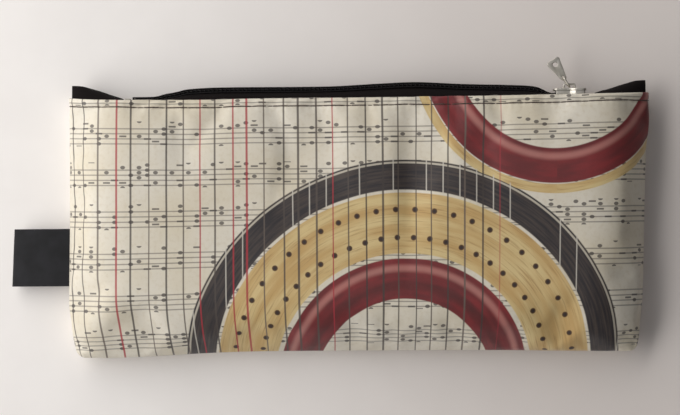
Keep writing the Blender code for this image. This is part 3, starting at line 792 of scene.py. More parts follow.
def archBands(finish, u, v, under):
    # nested arches in charcoal, golden wood and burgundy, and one hanging arc
    du, dv, r = away(u, v, "archAt")
    turn = du.turnFrom(dv)
    ink = charcoalInk(finish, r, turn)
    colour = finish.mix(r.band(*printSizes["charcoalArch"], 0.25), under, ink)
    colour = finish.mix(r.band(*printSizes["paleArch"], 0.2), colour, tone(196, 188, 172))
    ink = woodInk(finish, r, turn)
    colour = finish.mix(r.band(*printSizes["woodArch"], 0.25), colour, ink)
    ink = burgundyInk(finish, r, turn, printSizes["burgundyGloss"])
    colour = finish.mix(r.band(*printSizes["burgundyArch"], 0.25), colour, ink)
    for radius, every in printSizes["studRows"]:
        colour = studs(finish, r, turn, radius, every, colour)
    # the hanging arc shows outside the arches only
    du, dv, r2 = away(u, v, "hangingAt")
    turn = du.turnFrom(dv)
    outside = r.fade(*printSizes["hangingFrom"])
    ink = burgundyInk(finish, r2, turn, printSizes["hangingGloss"])
    colour = finish.mix(r2.band(*printSizes["hangingArch"], 0.25) * outside, colour, ink)
    ink = woodInk(finish, r2, turn)
    return finish.mix(r2.band(*printSizes["hangingRim"], 0.2) * outside, colour, ink)


def charcoalInk(finish, r, turn):
    streak = finish.noise(finish.vector(r * 1.2, turn * 5.0, 2.0), 1.0, 3.0)
    return finish.mix(streak.fade(0.35, 0.7), tone(36, 33, 40), tone(74, 64, 60))


def woodInk(finish, r, turn):
    grain = finish.noise(finish.vector(r * 1.6, turn * 4.0, 5.0), 1.0, 4.0, 0.6)
    broad = finish.noise(finish.vector(r * 0.25, turn * 2.0, 9.0), 1.0, 2.0)
    light = finish.mix(broad.fade(0.3, 0.7), tone(226, 202, 146), tone(204, 168, 108))
    return finish.mix(grain.fade(0.5, 0.72) * 0.6, light, tone(160, 118, 66))


def burgundyInk(finish, r, turn, gloss):
    cloudy = finish.noise(finish.vector(r * 0.3, turn * 3.0, 4.0), 1.0, 3.0)
    base = finish.mix(cloudy.fade(0.3, 0.7), tone(104, 30, 36), tone(134, 36, 42))
    base = finish.mix(r.band(gloss, 1.2, 1.0) * 0.55, base, tone(214, 150, 140))
    return finish.mix(r.band(gloss - 6.5, 1.6, 1.2) * 0.5, base, tone(58, 16, 20))


def studs(finish, r, turn, radius, every, under):
    # a row of dark studs along an arch
    run = turn * radius / every
    off = (run.fract() - 0.5) * every
    reach = (off * off + (r - radius) * (r - radius)).root()
    colour = finish.mix(1 - reach.fade(0.9, 1.25), under, tone(88, 58, 34))
    return finish.mix(1 - reach.fade(0.45, 0.8), colour, tone(44, 32, 30))


# Thread and stitches

stitchSizes = {
    "pitch": 2.7 * mm,
    "length": 2.9 * mm,
    "thread": 0.44 * mm,
    "dip": 0.1 * mm,
    "seed": 4,
    "twistEvery": 0.55 * mm,
    "twistDepth": 0.05 * mm,
}
stitchInputs = {label: stitchSizes[label.lower()] for label in ("Length", "Thread", "Dip", "Seed")}


def threadFinish():
    finish = Finish("sewing thread")
    x, y, z = finish.parts(finish.place())
    twist = ((x + y + z) * (2 * math.pi / stitchSizes["twistEvery"])).sin()
    fuzz = finish.noise(finish.place(), 2600.0, 2.0)
    colour = finish.mix(fuzz.fade(0.3, 0.7), tone(52, 38, 32), tone(78, 58, 48))
    return finish.surface(
        Base_Color=colour,
        Roughness=0.7 + fuzz * 0.2,
        Normal=finish.bump(twist * 0.5 + fuzz, stitchSizes["twistDepth"], 0.8),
        Sheen_Weight=0.2,
    )


def stitchRecipe():
    # each stitch is a short thread that bows up between its two needle holes
    recipe = Recipe("stitches", stitchInputs)
    half = recipe.input("Length") / 2
    dip = recipe.input("Dip") * -1
    bow = {
        "Resolution": 6,
        "Start": recipe.vector(half * -1, 0.0, dip),
        "Middle": recipe.vector(0.0, 0.0, recipe.input("Dip")),
        "End": recipe.vector(half, 0.0, dip),
    }
    strand = recipe.add("GeometryNodeCurveQuadraticBezier", None, bow)
    off = abs(recipe.add("GeometryNodeSplineParameter") * 2 - 1)
    values = {
        "Curve": strand,
        "Profile Curve": recipe.ring(recipe.input("Thread")),
        "Scale": 1 - off ** 4 * 0.15,
        "Fill Caps": True,
    }
    recipe.row(recipe.add("GeometryNodeCurveToMesh", None, values), "run", "out", 0.94)
    return recipe


def pathObject(name, points, runs, outs):
    path = newMesh(name, points, [])
    for label, vectors in (("run", runs), ("out", outs)):
        attribute = path.data.attributes.new(label, "FLOAT_VECTOR", "POINT")
        attribute.data.foreach_set("vector", np.asarray(vectors, np.float32).ravel())
    return path


def evenly(points, outs, pitch):
    # places a pitch apart along a line, with the line's run and its outward there
    points, outs = np.asarray(points), np.asarray(outs)
    length = runLength(points)
    count = int(length[-1] / pitch)
    middle = (np.arange(count) + 0.5) * length[-1] / count

    def sample(values, at):
        return np.stack([np.interp(at, length, values[:, k]) for k in range(3)], -1)

    runs = sample(points, middle + pitch / 4) - sample(points, middle - pitch / 4)
    return sample(points, middle), runs, sample(outs, middle)


def topstitchLine(layer):
    # the groove's own line, just over the cloth, with the cloth's outward
    up = pouch["height"] - cloth["stitchDrop"]
    row = int(np.argmin(abs(layer.up - up)))
    normal = layer.normals()[:, row]
    return layer.points[:, row] + normal * cloth["stitchLift"], normal


def seamLine(stretch):
    # the thread's line inside the side and bottom seams
    inset = cloth["seamRadius"] + cloth["seamFlap"] * cloth["threadShare"]
    low, high = boxOf({"left": "side_seam_left", "right": "side_seam_right"}.get(stretch, "bottom_seam"))
    half = pouch["halfWidth"] - inset
    if stretch == "bottom":
        across = steps(low[0], high[0], cloth["column"])
        x, y = outlinePoint(across, np.full_like(across, inset))
        outs = np.tile([0.0, -1.0, 0.0], (len(x), 1))
    else:
        side = -1 if stretch == "left" else 1
        up = steps(low[1] - bottomY, high[1] - bottomY, cloth["row"])
        x, y = outlinePoint(np.full_like(up, side * half), up)
        outs = np.tile([float(side), 0.0, 0.0], (len(x), 1))
    return np.stack([x, y, np.full_like(x, pouch["seamHeight"])], -1), outs


# Zip

zipSizes = {
    "shoulder": 1.5 * mm,
    "tapeInset": 1.0 * mm,
    "tapeThickness": 0.5 * mm,
    "gap": 0.3 * mm,
    "chainSunk": 2.0 * mm,
    "chainBulge": 4.6 * mm,
    "earRise": 6.7 * mm,
    "chainHalf": 86.2 * mm,
    "dipStart": 72.0 * mm,
    "dipEnd": 88.8 * mm,
    "held": 9.5 * mm,
    "stopEnd": 88.5 * mm,
    "spread": 1.25 * mm,
    "bottomSpread": 0.45 * mm,
    "spreadLength": 5.5 * mm,
    "spreadLead": 1.0 * mm,
    "pitch": 1.6 * mm,
    "halfWidth": 2.6 * mm,
    "coil": 2.2 * mm,
    "seat": -0.12 * mm,
    "wire": 0.72 * mm,
    "mesh": 0.25 * mm,
    "cord": 0.7 * mm,
    "thread": 0.62 * mm,
    "cordDepth": 1.6,  # wires in from the coil's outer ends
    "column": 1.5 * mm,
    "turnSteps": 16,
    "heldSteps": 6,
    "archSteps": 12,
    "edge": 0.12 * mm,
    "ribEvery": 1.4,  # millimetres of cloth
    "ribDepth": 0.08 * mm,
    "bulge": (
        (-1.08, 0), (-1.05, 0.08), (-1.02, 0.22), (-0.98, 0.32), (-0.94, 0.46), (-0.9, 0.6),
        (-0.74, 0.72), (-0.15, 0.72),
        (0.1, 0.9), (0.3, 1.0), (0.55, 0.8), (0.83, 0.66), (0.93, 0.52), (0.975, 0.22), (1, 0),
    ),
    "leftEar": (
        (0, 0), (0.05, 0.26), (0.1, 0.31), (0.16, 0.35), (0.26, 0.45), (0.46, 0.67),
        (0.62, 0.81), (0.8, 0.96), (1, 1),
    ),
    "rightEar": (
        (0, 0), (0.05, 0.33), (0.1, 0.38), (0.22, 0.45), (0.34, 0.55), (0.46, 0.67),
        (0.62, 0.81), (0.8, 0.96), (1, 1),
    ),
}
coilInputs = {
    "Reach": zipSizes["halfWidth"] + zipSizes["mesh"],
    "Height": zipSizes["coil"],
    "Wire": zipSizes["wire"],
    "Seed": 2,
}
sliderLow, sliderHigh = boxOf("slider_body")
sliderX = (sliderLow[0] + sliderHigh[0]) / 2
chainY = pouch["mouthY"] - zipSizes["chainSunk"]


def tapeLevel(x):
    # world Y of the tape's outer face at its free edge
    end = pouch["halfWidth"] - zipSizes["tapeInset"]
    dip = (abs(x) - zipSizes["dipEnd"]) / (end - zipSizes["dipEnd"])
    ear = np.where(x < 0, along(zipSizes["leftEar"], dip), along(zipSizes["rightEar"], dip))
    bulge = zipSizes["chainBulge"] * along(zipSizes["bulge"], x / zipSizes["dipStart"])
    return chainY + zipSizes["earRise"] * ear + bulge


def tapeHeight(side, x, up):
    base = pouch["seamHeight"] + side * (zipSizes["gap"] / 2 + zipSizes["tapeThickness"])
    return sideHeight(side, x, up, zipSizes["tapeInset"], base)


def chainZ(x):
    up = np.full_like(x, pouch["height"])
    return (tapeHeight(1, x, up) + tapeHeight(-1, x, up)) / 2


def spread(x):
    # how far each half of the zip stands off the middle line, round the slider's post and the stops
    length = zipSizes["spreadLength"]
    right = zipSizes["spread"] * smooth((x - sliderX + zipSizes["spreadLead"]) / length)
    left = zipSizes["bottomSpread"] * smooth((-x - zipSizes["chainHalf"] + length) / length)
    return (right + left) * (1 - smooth((abs(x) - zipSizes["stopEnd"]) / length))


def tapeFinish():
    # herringbone ribs
    finish = Finish("zip webbing")
    u, v, flat = finish.cloth()
    every = zipSizes["ribEvery"]
    rib = (((u + abs((v / every).fract() - 0.5) * every) / (every / 2)).fract() - 0.5) * 2
    rib = 1 - abs(rib)
    fuzz = finish.noise(flat, 3.0, 3.0)
    colour = finish.mix(rib * 0.6 + fuzz * 0.4, tone(12, 9, 9), tone(26, 20, 20))
    return finish.surface(
        Base_Color=colour,
        Roughness=0.78 + fuzz * 0.15,
        Normal=finish.bump(rib + fuzz * 0.4, zipSizes["ribDepth"], 0.6),
        Specular_IOR_Level=0.12,
    )


def zipTape(name, side, slack, finish):
    # held inside the panel's top edge, then arching over to the middle line of the mouth
    half = pouch["halfWidth"] - zipSizes["tapeInset"]
    turn = turned(pouch["frontSideRound"], zipSizes["turnSteps"])[1:]
    flat = half - turn[-1]
    xs = np.concatenate([turn - half, steps(-flat, flat, zipSizes["column"])[1:-1], half - turn[::-1]])
    held = np.linspace(0, 1, zipSizes["heldSteps"] + 1)[:-1]
    arch = np.linspace(0, math.pi / 2, zipSizes["archSteps"] + 1)
    level, drop = tapeLevel(xs), mouthSag(xs)
    bend = np.minimum(pouch["mouthY"] - drop, level) - zipSizes["shoulder"]
    low = pouch["mouthY"] - zipSizes["held"]
    rows = []
    for t in held:
        y = low + (bend - low) * t
        up = y + drop - bottomY
        rows.append(np.stack([xs, y, tapeHeight(side, xs, up)], -1) + slack.at(xs, up))
    power = 0.5 + 0.5 * smooth((level - chainY) / zipSizes["chainBulge"])
    root = tapeHeight(side, xs, bend + drop - bottomY)
    edge = chainZ(xs) + side * (zipSizes["gap"] / 2 + spread(xs))
    for t in arch:
        y = bend + (level - bend) * math.sin(t) ** power
        z = edge + (root - edge) * max(math.cos(t), 0.0) ** power
        rows.append(np.stack([xs, y, z], -1) + slack.at(xs, y + drop - bottomY))
    grid = np.stack(rows, 1)
    columns, count = grid.shape[:2]
    v = runLength(grid[columns // 2])
    index = np.arange(columns * count).reshape(columns, count)
    made = newMesh(name, grid.reshape(-1, 3), gridFaces(index, side < 0), finish)
    clothMap(made, [(x, rise) for x in xs for rise in v])
    thicken(made, zipSizes["tapeThickness"])
    softenEdges(made, zipSizes["edge"], 60)
    return settle(made)


def nylonFinish():
    finish = Finish("zip nylon")
    scratch = finish.noise(finish.place(), 900.0, 3.0)
    broad = finish.noise(finish.place(), 120.0, 2.0)
    colour = finish.mix(broad.fade(0.3, 0.7), tone(10, 8, 9), tone(20, 16, 18))
    return finish.surface(
        Base_Color=colour,
        Roughness=0.34 + scratch * 0.2,
        Normal=finish.bump(scratch, scratchDepth, 0.5),
        Specular_IOR_Level=0.2,
    )


def coilRecipe():
    # each tooth is a loop of nylon wire that stands across the tape's edge
    recipe = Recipe("zip coil", coilInputs)
    wire = recipe.input("Wire")
    high = recipe.input("Height") - wire
    sizes = {"Width": recipe.input("Reach") - wire, "Height": high}
    loop = recipe.add("GeometryNodeCurvePrimitiveQuadrilateral", {"mode": "RECTANGLE"}, sizes)
    rounding = {"Curve": loop, "Count": 3, "Radius": high / 2.2}
    loop = recipe.add("GeometryNodeFilletCurve", {"mode": "POLY"}, rounding)
    values = {"Curve": loop, "Profile Curve": recipe.ring(wire)}
    recipe.row(recipe.add("GeometryNodeCurveToMesh", None, values), "out", "run", 0.985)
    return recipe


def zipTeeth(name, side, recipe, finish):
    count = round(2 * zipSizes["chainHalf"] / zipSizes["pitch"])
    pitch = 2 * zipSizes["chainHalf"] / count
    first = -zipSizes["chainHalf"] + (pitch / 2 if side > 0 else pitch)
    xs = first + pitch * np.arange(count - 1)
    y = tapeLevel(xs) + zipSizes["seat"] + zipSizes["coil"] / 2
    z = chainZ(xs) + side * (coilInputs["Reach"] / 2 - zipSizes["mesh"] + spread(xs))
    points = np.stack([xs, y, z], -1)
    runs = np.gradient(points, axis=0) * [1, 1, 0]
    outs = np.tile([0.0, 0.0, float(side)], (len(xs), 1))
    path = pathObject(name + " path", points, runs, outs)
    teeth = recipe.bake(name, path, finish, **coilInputs)
    # a filler cord inside the loops and two rows of sewing thread along their outer ends
    outer = zipSizes["halfWidth"] + spread(xs)
    rise = (zipSizes["coil"] - zipSizes["wire"]) / 2
    lines = []
    for lift, depth, thick in (
        (0.0, zipSizes["wire"] * zipSizes["cordDepth"], zipSizes["cord"]),
        (rise, zipSizes["wire"] / 2, zipSizes["thread"]),
        (-rise, zipSizes["wire"] / 2, zipSizes["thread"]),
    ):
        line = np.stack([xs, y + lift, chainZ(xs) + side * (outer - depth)], -1)
        lines.append(tubeAlong(name + " line", line, thick, finish))
    return joinPieces(name, [teeth, *lines])


def curveMesh(name, outlines, closed, finish, turn=None, **settings):
    # a clean mesh of the solid that a curve with these outlines and settings makes
    curve = bpy.data.curves.new(name, "CURVE")
    for label, value in settings.items():
        setattr(curve, label, value)
    for points in outlines:
        spline = curve.splines.new("POLY")
        spline.points.add(len(points) - 1)
        for point, place in zip(spline.points, points):
            point.co = (*Vector(place).to_3d(), 1)
        spline.use_cyclic_u = closed
    source = placed(name + " curve", curve)
    mesh = meshOf(source)
    bpy.data.objects.remove(source)
    if turn:
        mesh.transform(turn)
    bm = bmesh.new()
    bm.from_mesh(mesh)
    bmesh.ops.remove_doubles(bm, verts=bm.verts, dist=weldDistance)
    bmesh.ops.recalc_face_normals(bm, faces=bm.faces)
    bm.to_mesh(mesh)
    bm.free()
    mesh.materials.clear()
    mesh.materials.append(finish)
    return placed(name, mesh)


def tubeAlong(name, points, diameter, finish, closed=False, sides=8):
    # a round wire or cord through the points
    radius, detail = diameter / 2, sides // 4
    settings = {"bevel_depth": radius, "bevel_resolution": detail, "use_fill_caps": not closed}
    return curveMesh(name, [points], closed, finish, dimensions="3D", **settings)


def joinPieces(name, pieces):
    # several closed shells as one piece
    joined = bmesh.new()
    for piece in pieces:
        joined.from_mesh(piece.data)
    for face in joined.faces:
        face.material_index = 0
    mesh = bpy.data.meshes.new(name)
    joined.to_mesh(mesh)
    joined.free()
    mesh.materials.append(pieces[-1].data.materials[0])
    for piece in pieces:
        bpy.data.objects.remove(piece)
    mesh.shade_smooth()
    return placed(name, mesh)


# Metal

stopEdge = 0.14 * mm


def nickelFinish():
    finish = Finish("worn nickel")
    place = finish.place()
    cast = finish.noise(place, 700.0, 3.0)
    worn = finish.noise(place, 160.0, 4.0, 0.6)
    x, y, z = finish.parts(place)
    scratch = finish.noise(finish.vector(x * 300, y * 2600, z * 2600), 1.0, 2.0)
    colour = finish.mix(worn.fade(0.35, 0.7), tone(214, 209, 200), tone(190, 185, 173))
    return finish.surface(
        Base_Color=colour,
        Metallic=0.9,
        Roughness=0.28 + worn * 0.2 + scratch * 0.08,
        Normal=finish.bump(cast * 0.6 + scratch * 0.4, scratchDepth, 0.6),
    )


def bevelledCopy(node, name, finish):
    # a zip stop of the CAD with its edges rounded
    mesh = frame["nodes"][node].data.copy()
    bm = bmesh.new()
    bm.from_mesh(mesh)
    bmesh.ops.remove_doubles(bm, verts=bm.verts, dist=2 * weldDistance)
    flat = math.radians(2)
    bmesh.ops.dissolve_limit(bm, angle_limit=flat, verts=bm.verts, edges=bm.edges, delimit={"NORMAL"})
    bm.to_mesh(mesh)
    bm.free()
    mesh.materials.clear()
    mesh.materials.append(finish)
    for face in mesh.polygons:
        face.material_index = 0
    mesh.shade_smooth()
    made = placed(name, mesh)
    softenEdges(made, stopEdge, 35, 3)
    modify(made, "WEIGHTED_NORMAL", keep_sharp=True)
    return settle(made)


def arc(centre, radius, start, end, count):
    turn = np.radians(np.linspace(start, end, count + 1))
    return [(centre[0] + radius * math.cos(t), centre[1] + radius * math.sin(t)) for t in turn]


def roundedOutline(corners, radius, count=5):
    # a closed outline with each of its corners cut by an arc
    corners = [np.array(c, float) for c in corners]
    points = []
    for k, corner in enumerate(corners):
        before, after = corners[k - 1] - corner, corners[(k + 1) % len(corners)] - corner
        cut = min(radius, np.linalg.norm(before) * 0.45, np.linalg.norm(after) * 0.45)
        start = corner + before / np.linalg.norm(before) * cut
        end = corner + after / np.linalg.norm(after) * cut
        for t in np.linspace(0, 1, count + 1):
            points.append(tuple((1 - t) ** 2 * start + 2 * t * (1 - t) * corner + t * t * end))
    return points


def plate(name, outlines, thickness, edge, turn, finish):
    # a flat plate with any holes and softened edges. turn carries its own XY plane into place
    flat = {"dimensions": "2D", "fill_mode": "BOTH", "extrude": thickness / 2 - edge}
    soft = {"bevel_depth": edge, "bevel_resolution": 2, "offset": -edge}
    return curveMesh(name, outlines, True, finish, turn, **flat, **soft)


sliderSizes = {
    "length": 12.4 * mm,
    "halfNose": 5.1 * mm,
    "halfTail": 3.9 * mm,
    "plate": 0.9 * mm,
    "flange": 0.7 * mm,
    "post": 3.6 * mm,
    "postHalf": 0.7 * mm,
    "openingLength": 3.4 * mm,
    "openingHeight": 1.3 * mm,
    "crown": 0.7 * mm,
    "crownWidth": 1.6 * mm,
    "corner": 1.4 * mm,
    "edge": 0.22 * mm,
    "postCorner": 0.5 * mm,
    "postEdge": 0.08 * mm,
    "flangeCorner": 0.25 * mm,
    "flangeEdge": 0.12 * mm,
    "crownOuterBend": 0.9 * mm,
    "crownInnerBend": 0.35 * mm,
    "crownEdge": 0.18 * mm,
    "sink": 0.2 * mm,
}


def sliderShape(shrink=0.0):
    # the plate's upper half, from its tail to its nose, and its whole outline
    half = sliderSizes["length"] / 2
    shoulder = half / 3
    nose, tail = sliderSizes["halfNose"] - shrink, sliderSizes["halfTail"] - shrink
    upper = [
        (-half, tail - shoulder / 2),
        (-half + shoulder / 2, tail),
        (0, tail),
        (shoulder, nose),
        (half - shoulder / 3, nose),
        (half, nose - shoulder / 2),
    ]
    return upper, upper + [(x, -z) for x, z in reversed(upper)]


def sliderCasting(finish):
    # two plates, the post between them, side flanges and the crown that the pull hangs in
    z = float(chainZ(np.array([sliderX]))[0])
    gap, thick, sink = zipSizes["gap"], sliderSizes["plate"], sliderSizes["sink"]
    plateY = chainY + gap + zipSizes["coil"] + gap
    lowerTop = chainY - zipSizes["tapeThickness"] - gap
    flat = Matrix(((1, 0, 0), (0, 0, -1), (0, 1, 0))).to_4x4()

    def at(y):
        return Matrix.Translation((sliderX, y, z)) @ flat

    outline = [roundedOutline(sliderShape()[1], sliderSizes["corner"])]
    edge = sliderSizes["edge"]
    pieces = [
        plate("upper plate", outline, thick, edge, at(plateY + thick / 2), finish),
        plate("lower plate", outline, thick, edge, at(lowerTop - thick / 2), finish),
    ]
    nose = sliderSizes["length"] / 2 - sink
    length, half = sliderSizes["post"], sliderSizes["postHalf"]
    post = [
        (nose - length, 0),
        (nose - length / 2, -half),
        (nose, -half / 2),
        (nose, half / 2),
        (nose - length / 2, half),
    ]
    tall = plateY - lowerTop + 2 * sink
    middle = (plateY + lowerTop) / 2
    post = roundedOutline(post, sliderSizes["postCorner"], 3)
    pieces.append(plate("post", [post], tall, sliderSizes["postEdge"], at(middle), finish))
    low = chainY + gap
    tall = plateY + sink - low
    for side in (1, -1):
        upper = sliderShape(sink)[0]
        inner = [(x, w - sliderSizes["flange"]) for x, w in upper[1:5]]
        strip = [(x, side * w) for x, w in upper[1:5] + inner[::-1]]
        strip = roundedOutline(strip, sliderSizes["flangeCorner"], 3)
        place = at(low + tall / 2)
        pieces.append(plate("flange", [strip], tall, sliderSizes["flangeEdge"], place, finish))
    pieces.append(crownArch(z, plateY, finish))
    return joinPieces("slider_casting", pieces)


def crownArch(z, plateY, finish):
    # the arch on the outer plate, standing along the zip
    low = plateY + sliderSizes["plate"] - sliderSizes["sink"]
    roof = plateY + sliderSizes["plate"] + sliderSizes["openingHeight"]
    top = roof + sliderSizes["crown"]
    inner = sliderSizes["openingLength"] / 2
    outer = inner + sliderSizes["crown"]
    bend = sliderSizes["crownOuterBend"]
    outside = [(-outer, low), *arc((bend - outer, top - bend), bend, 180, 90, 6)]
    outside += [*arc((outer - bend, top - bend), bend, 90, 0, 6), (outer, low)]
    bend = sliderSizes["crownInnerBend"]
    inside = [(inner, low), *arc((inner - bend, roof - bend), bend, 0, 90, 4)]
    inside += [*arc((bend - inner, roof - bend), bend, 90, 180, 4), (-inner, low)]
    place = Matrix.Translation((sliderX, 0, z))
    width, edge = sliderSizes["crownWidth"], sliderSizes["crownEdge"]
    return plate("crown", [outside + inside], width, edge, place, finish)


pullSizes = {
    "wire": 0.8 * mm,
    "linkLength": 4.1 * mm,
    "linkWidth": 3.0 * mm,
    "linkCorner": 0.9 * mm,
    "eye": 0.65 * mm,
    "eyeWall": 0.5 * mm,
    "tabLength": 8.0 * mm,
    "tabHalf": 2.7 * mm,
    "tabCorner": 0.9 * mm,
    "tabThickness": 1.0 * mm,
    "tabEdge": 0.16 * mm,
    "hole": 0.9 * mm,
    "holeInset": 2.2 * mm,
}


def jointPlace(name):
    joint = next(j for j in frame["joints"] if j["name"] == name)
    return Vector(joint["pos_m"])


def pullTurn():
    # from the crown's hinge line, with +Y along the link towards the tab's own hinge line
    start, end = jointPlace("link_swing"), jointPlace("tab_swing")
    lean = math.atan2(start.x - end.x, end.y - start.y)
    return Matrix.Translation(start) @ Matrix.Rotation(lean, 4, "Z")


def pullLink(finish):
    half, corner = pullSizes["linkWidth"] / 2, pullSizes["linkCorner"]
    length = pullSizes["linkLength"]
    x, near, far = half - corner, corner, length - corner
    path = []
    for centre, start in (((x, near), -90), ((x, far), 0), ((-x, far), 90), ((-x, near), 180)):
        path += arc(centre, corner, start, start + 90, 8)
    turn = pullTurn()
    points = [turn @ Vector((0, y, z)) for z, y in path]
    link = tubeAlong("link_wire", points, pullSizes["wire"], finish, closed=True, sides=16)
    link.data.shade_smooth()
    return link


def pullTab(finish):
    # a round eye on the link, widening to a square end with a hole
    length = pullSizes["linkLength"]
    end = length + pullSizes["tabLength"]
    corner = pullSizes["tabCorner"]
    x, y = pullSizes["tabHalf"] - corner, end - corner
    outline = (
        arc((0, length), pullSizes["eye"] + pullSizes["eyeWall"], 180, 360, 16)
        + arc((x, y), corner, 0, 90, 7)
        + arc((-x, y), corner, 90, 180, 7)
    )
    eye = arc((0, length), pullSizes["eye"], 0, 360, 24)[:-1]
    hole = arc((0, end - pullSizes["holeInset"]), pullSizes["hole"], 0, 360, 28)[:-1]
    thick, edge = pullSizes["tabThickness"], pullSizes["tabEdge"]
    tab = plate("tab_plate", [outline, eye, hole], thick, edge, pullTurn(), finish)
    tab.data.shade_smooth()
    return tab


# Side tag

tagLow, tagHigh = boxOf("side_tag")
tag = {
    "length": tagHigh[0] - tagLow[0] - 0.5 * mm,  # less what the skew adds at a corner
    "width": 21.8 * mm,
    "ribbon": 0.34 * mm,
    "slit": 0.26 * mm,
    "bulge": 0.4 * mm,
    "droop": 2.2 * mm,
    "skew": 1.1 * mm,
    "root": tagHigh[0],
    "tuck": 1.6 * mm,
    "tuckHeight": 0.45 * mm,
    "wave": 0.16 * mm,
    "waveTurn": 5.2,
    "waveStart": 0.7,
    "tuckSteps": 3,
    "lengthSteps": 24,
    "foldSteps": 14,
    "widthSteps": 24,
    "edge": 0.08 * mm,
    "selvedge": 0.8,  # millimetres of cloth, as ribEvery
    "ribEvery": 0.36,
    "ribDepth": 0.06 * mm,
}


def ribbonFinish():
    finish = Finish("satin ribbon")
    u, v, flat = finish.cloth()
    rib = abs((u * (math.pi / tag["ribEvery"])).sin())
    satin = abs(((v / 0.5 + (u / tag["ribEvery"]).floor() * 0.4).fract() - 0.5) * 2)
    selvedge = tag["width"] / mm / 2 - tag["selvedge"]
    edge = abs(v).fade(selvedge, selvedge + 0.15)
    fuzz = finish.noise(flat, 2.2, 3.0)
    broad = finish.noise(flat, 0.14, 2.0)
    colour = finish.mix(broad.fade(0.3, 0.7), tone(18, 18, 21), tone(29, 29, 33))
    colour = finish.mix(edge * 0.5, colour, tone(42, 41, 45))
    return finish.surface(
        Base_Color=colour,
        Roughness=0.5 + fuzz * 0.15 + edge * 0.15,
        Normal=finish.bump(rib * 0.6 + satin * 0.4 + edge * 0.8, tag["ribDepth"], 0.6),
        Specular_IOR_Level=0.25,
        Sheen_Weight=0.08,
    )


def ribbonTag(finish):
    # one ribbon folded in two, with its two ends sewn into the side seam
    middleY = (tagLow[1] + tagHigh[1]) / 2
    seam = pouch["seamHeight"]

    def halfHeight(t):
        return tag["slit"] / 2 + tag["ribbon"] + tag["bulge"] * smooth(2 * t - 1) / 2

    straight = tag["length"] - halfHeight(1.0)
    tuck = np.linspace(0, 1, tag["tuckSteps"] + 1)[:-1]
    upper = [(tag["tuck"] * (1 - t), tag["tuckHeight"]) for t in tuck]
    upper += [(-t * straight, float(halfHeight(t))) for t in np.linspace(0, 1, tag["lengthSteps"] + 1)]
    fold = arc((-straight, 0), float(halfHeight(1.0)), 90, 270, tag["foldSteps"])[1:-1]
    profile = upper + fold + [(x, -z) for x, z in upper[::-1]]
    across = np.linspace(-0.5, 0.5, tag["widthSteps"] + 1) * tag["width"]
    points, maps = [], []
    for (x, z), s in zip(profile, runLength(np.array(profile))):
        out = max(-x, 0.0) / tag["length"]
        for y in across:
            wave = tag["wave"] * math.sin(y / tag["width"] * tag["waveTurn"] + tag["waveStart"]) * out
            points.append((
                tag["root"] + x + tag["skew"] * out * y / tag["width"],
                middleY + y,
                seam + z - tag["droop"] * out * out + wave,
            ))
            maps.append((s, y))
    index = np.arange(len(points)).reshape(len(profile), len(across))
    made = newMesh("ribbon_tag", points, gridFaces(index.T, False), finish)
    clothMap(made, maps)
    thicken(made, tag["ribbon"])
    softenEdges(made, tag["edge"], 60)
    return settle(made)


# Lining

liningSizes = {
    "inset": 1.9 * mm,
    "drop": 5.4 * mm,
    "thickness": 0.25 * mm,
    "weave": 0.3,
    "weaveDepth": 0.04 * mm,
}


def liningFinish():
    finish = Finish("lining cloth")
    u, v, flat = finish.cloth()
    weave = weaveHeight(u, v, liningSizes["weave"])
    fuzz = finish.noise(flat, 1.5, 2.0)
    return finish.surface(
        Base_Color=finish.mix(fuzz.fade(0.3, 0.7), tone(30, 29, 32), tone(46, 44, 48)),
        Roughness=0.72 + fuzz * 0.15,
        Normal=finish.bump(weave, liningSizes["weaveDepth"], 0.5),
        Sheen_Weight=0.2,
    )


# Making the pieces

seamBase = cloth["seamRadius"] + cloth["seamGap"]
front = Layer(1, 0.0, cloth["hemRadius"], pouch["seamHeight"] + seamBase)
back = Layer(-1, 0.0, cloth["hemRadius"], pouch["seamHeight"] - seamBase)
shiftFront, shiftBack = np.zeros_like(front.points), np.zeros_like(back.points)
shiftFront, shiftBack = simulateSlack(front, back)
front.points += shiftFront
back.points += shiftBack
slackFront, slackBack = Slack(front, shiftFront), Slack(back, shiftBack)
# the back lies on the table, before and after its relief
back.points[..., 2] = np.maximum(back.points[..., 2], 0.0)
for layer in (front, back):
    relief(layer)
back.points[..., 2] = np.maximum(back.points[..., 2], cloth["tableClear"])
print("layers laid out")

# each sheet's flat size is its arc lengths with the seam allowance, and the panels' with the hem too
for layer, name, isFront, node in (
    (front, "printed_front", True, "front_panel"),
    (back, "printed_back", False, "back_panel"),
):
    panel = layer.piece(name, printedFinish(name.replace("_", " "), isFront), True)
    thicken(panel, cloth["thickness"])
    modify(panel, "SUBSURF", levels=1, render_levels=1)
    settle(panel)
    hold(panel, "pouch", "printed_fabric", node)
    print("panel", name)

liningCloth = liningFinish()
for side, name, node, slack in (
    (1, "lining_front", "front_lining", slackFront),
    (-1, "lining_back", "back_lining", slackBack),
):
    base = pouch["seamHeight"] + side * seamBase
    lining = Layer(side, liningSizes["inset"], liningSizes["drop"], base)
    lining.points += slack.at(*np.meshgrid(lining.across, lining.up, indexing="ij"))
    made = lining.piece(name, liningCloth, False)
    thicken(made, liningSizes["thickness"])
    settle(made)
    hold(made, "pouch", "lining_cloth", node)
print("linings")

webbing, nylon, thread, nickel = tapeFinish(), nylonFinish(), threadFinish(), nickelFinish()
for side, name, slack in ((1, "front", slackFront), (-1, "back", slackBack)):
    hold(zipTape("tape_" + name, side, slack, webbing), "pouch", "zip_webbing", "zip_tape_" + name)
coil = coilRecipe()
for side, name in ((1, "front"), (-1, "back")):
    hold(zipTeeth("teeth_" + name, side, coil, nylon), "pouch", "zip_nylon", "zip_coil_" + name)
print("zip")

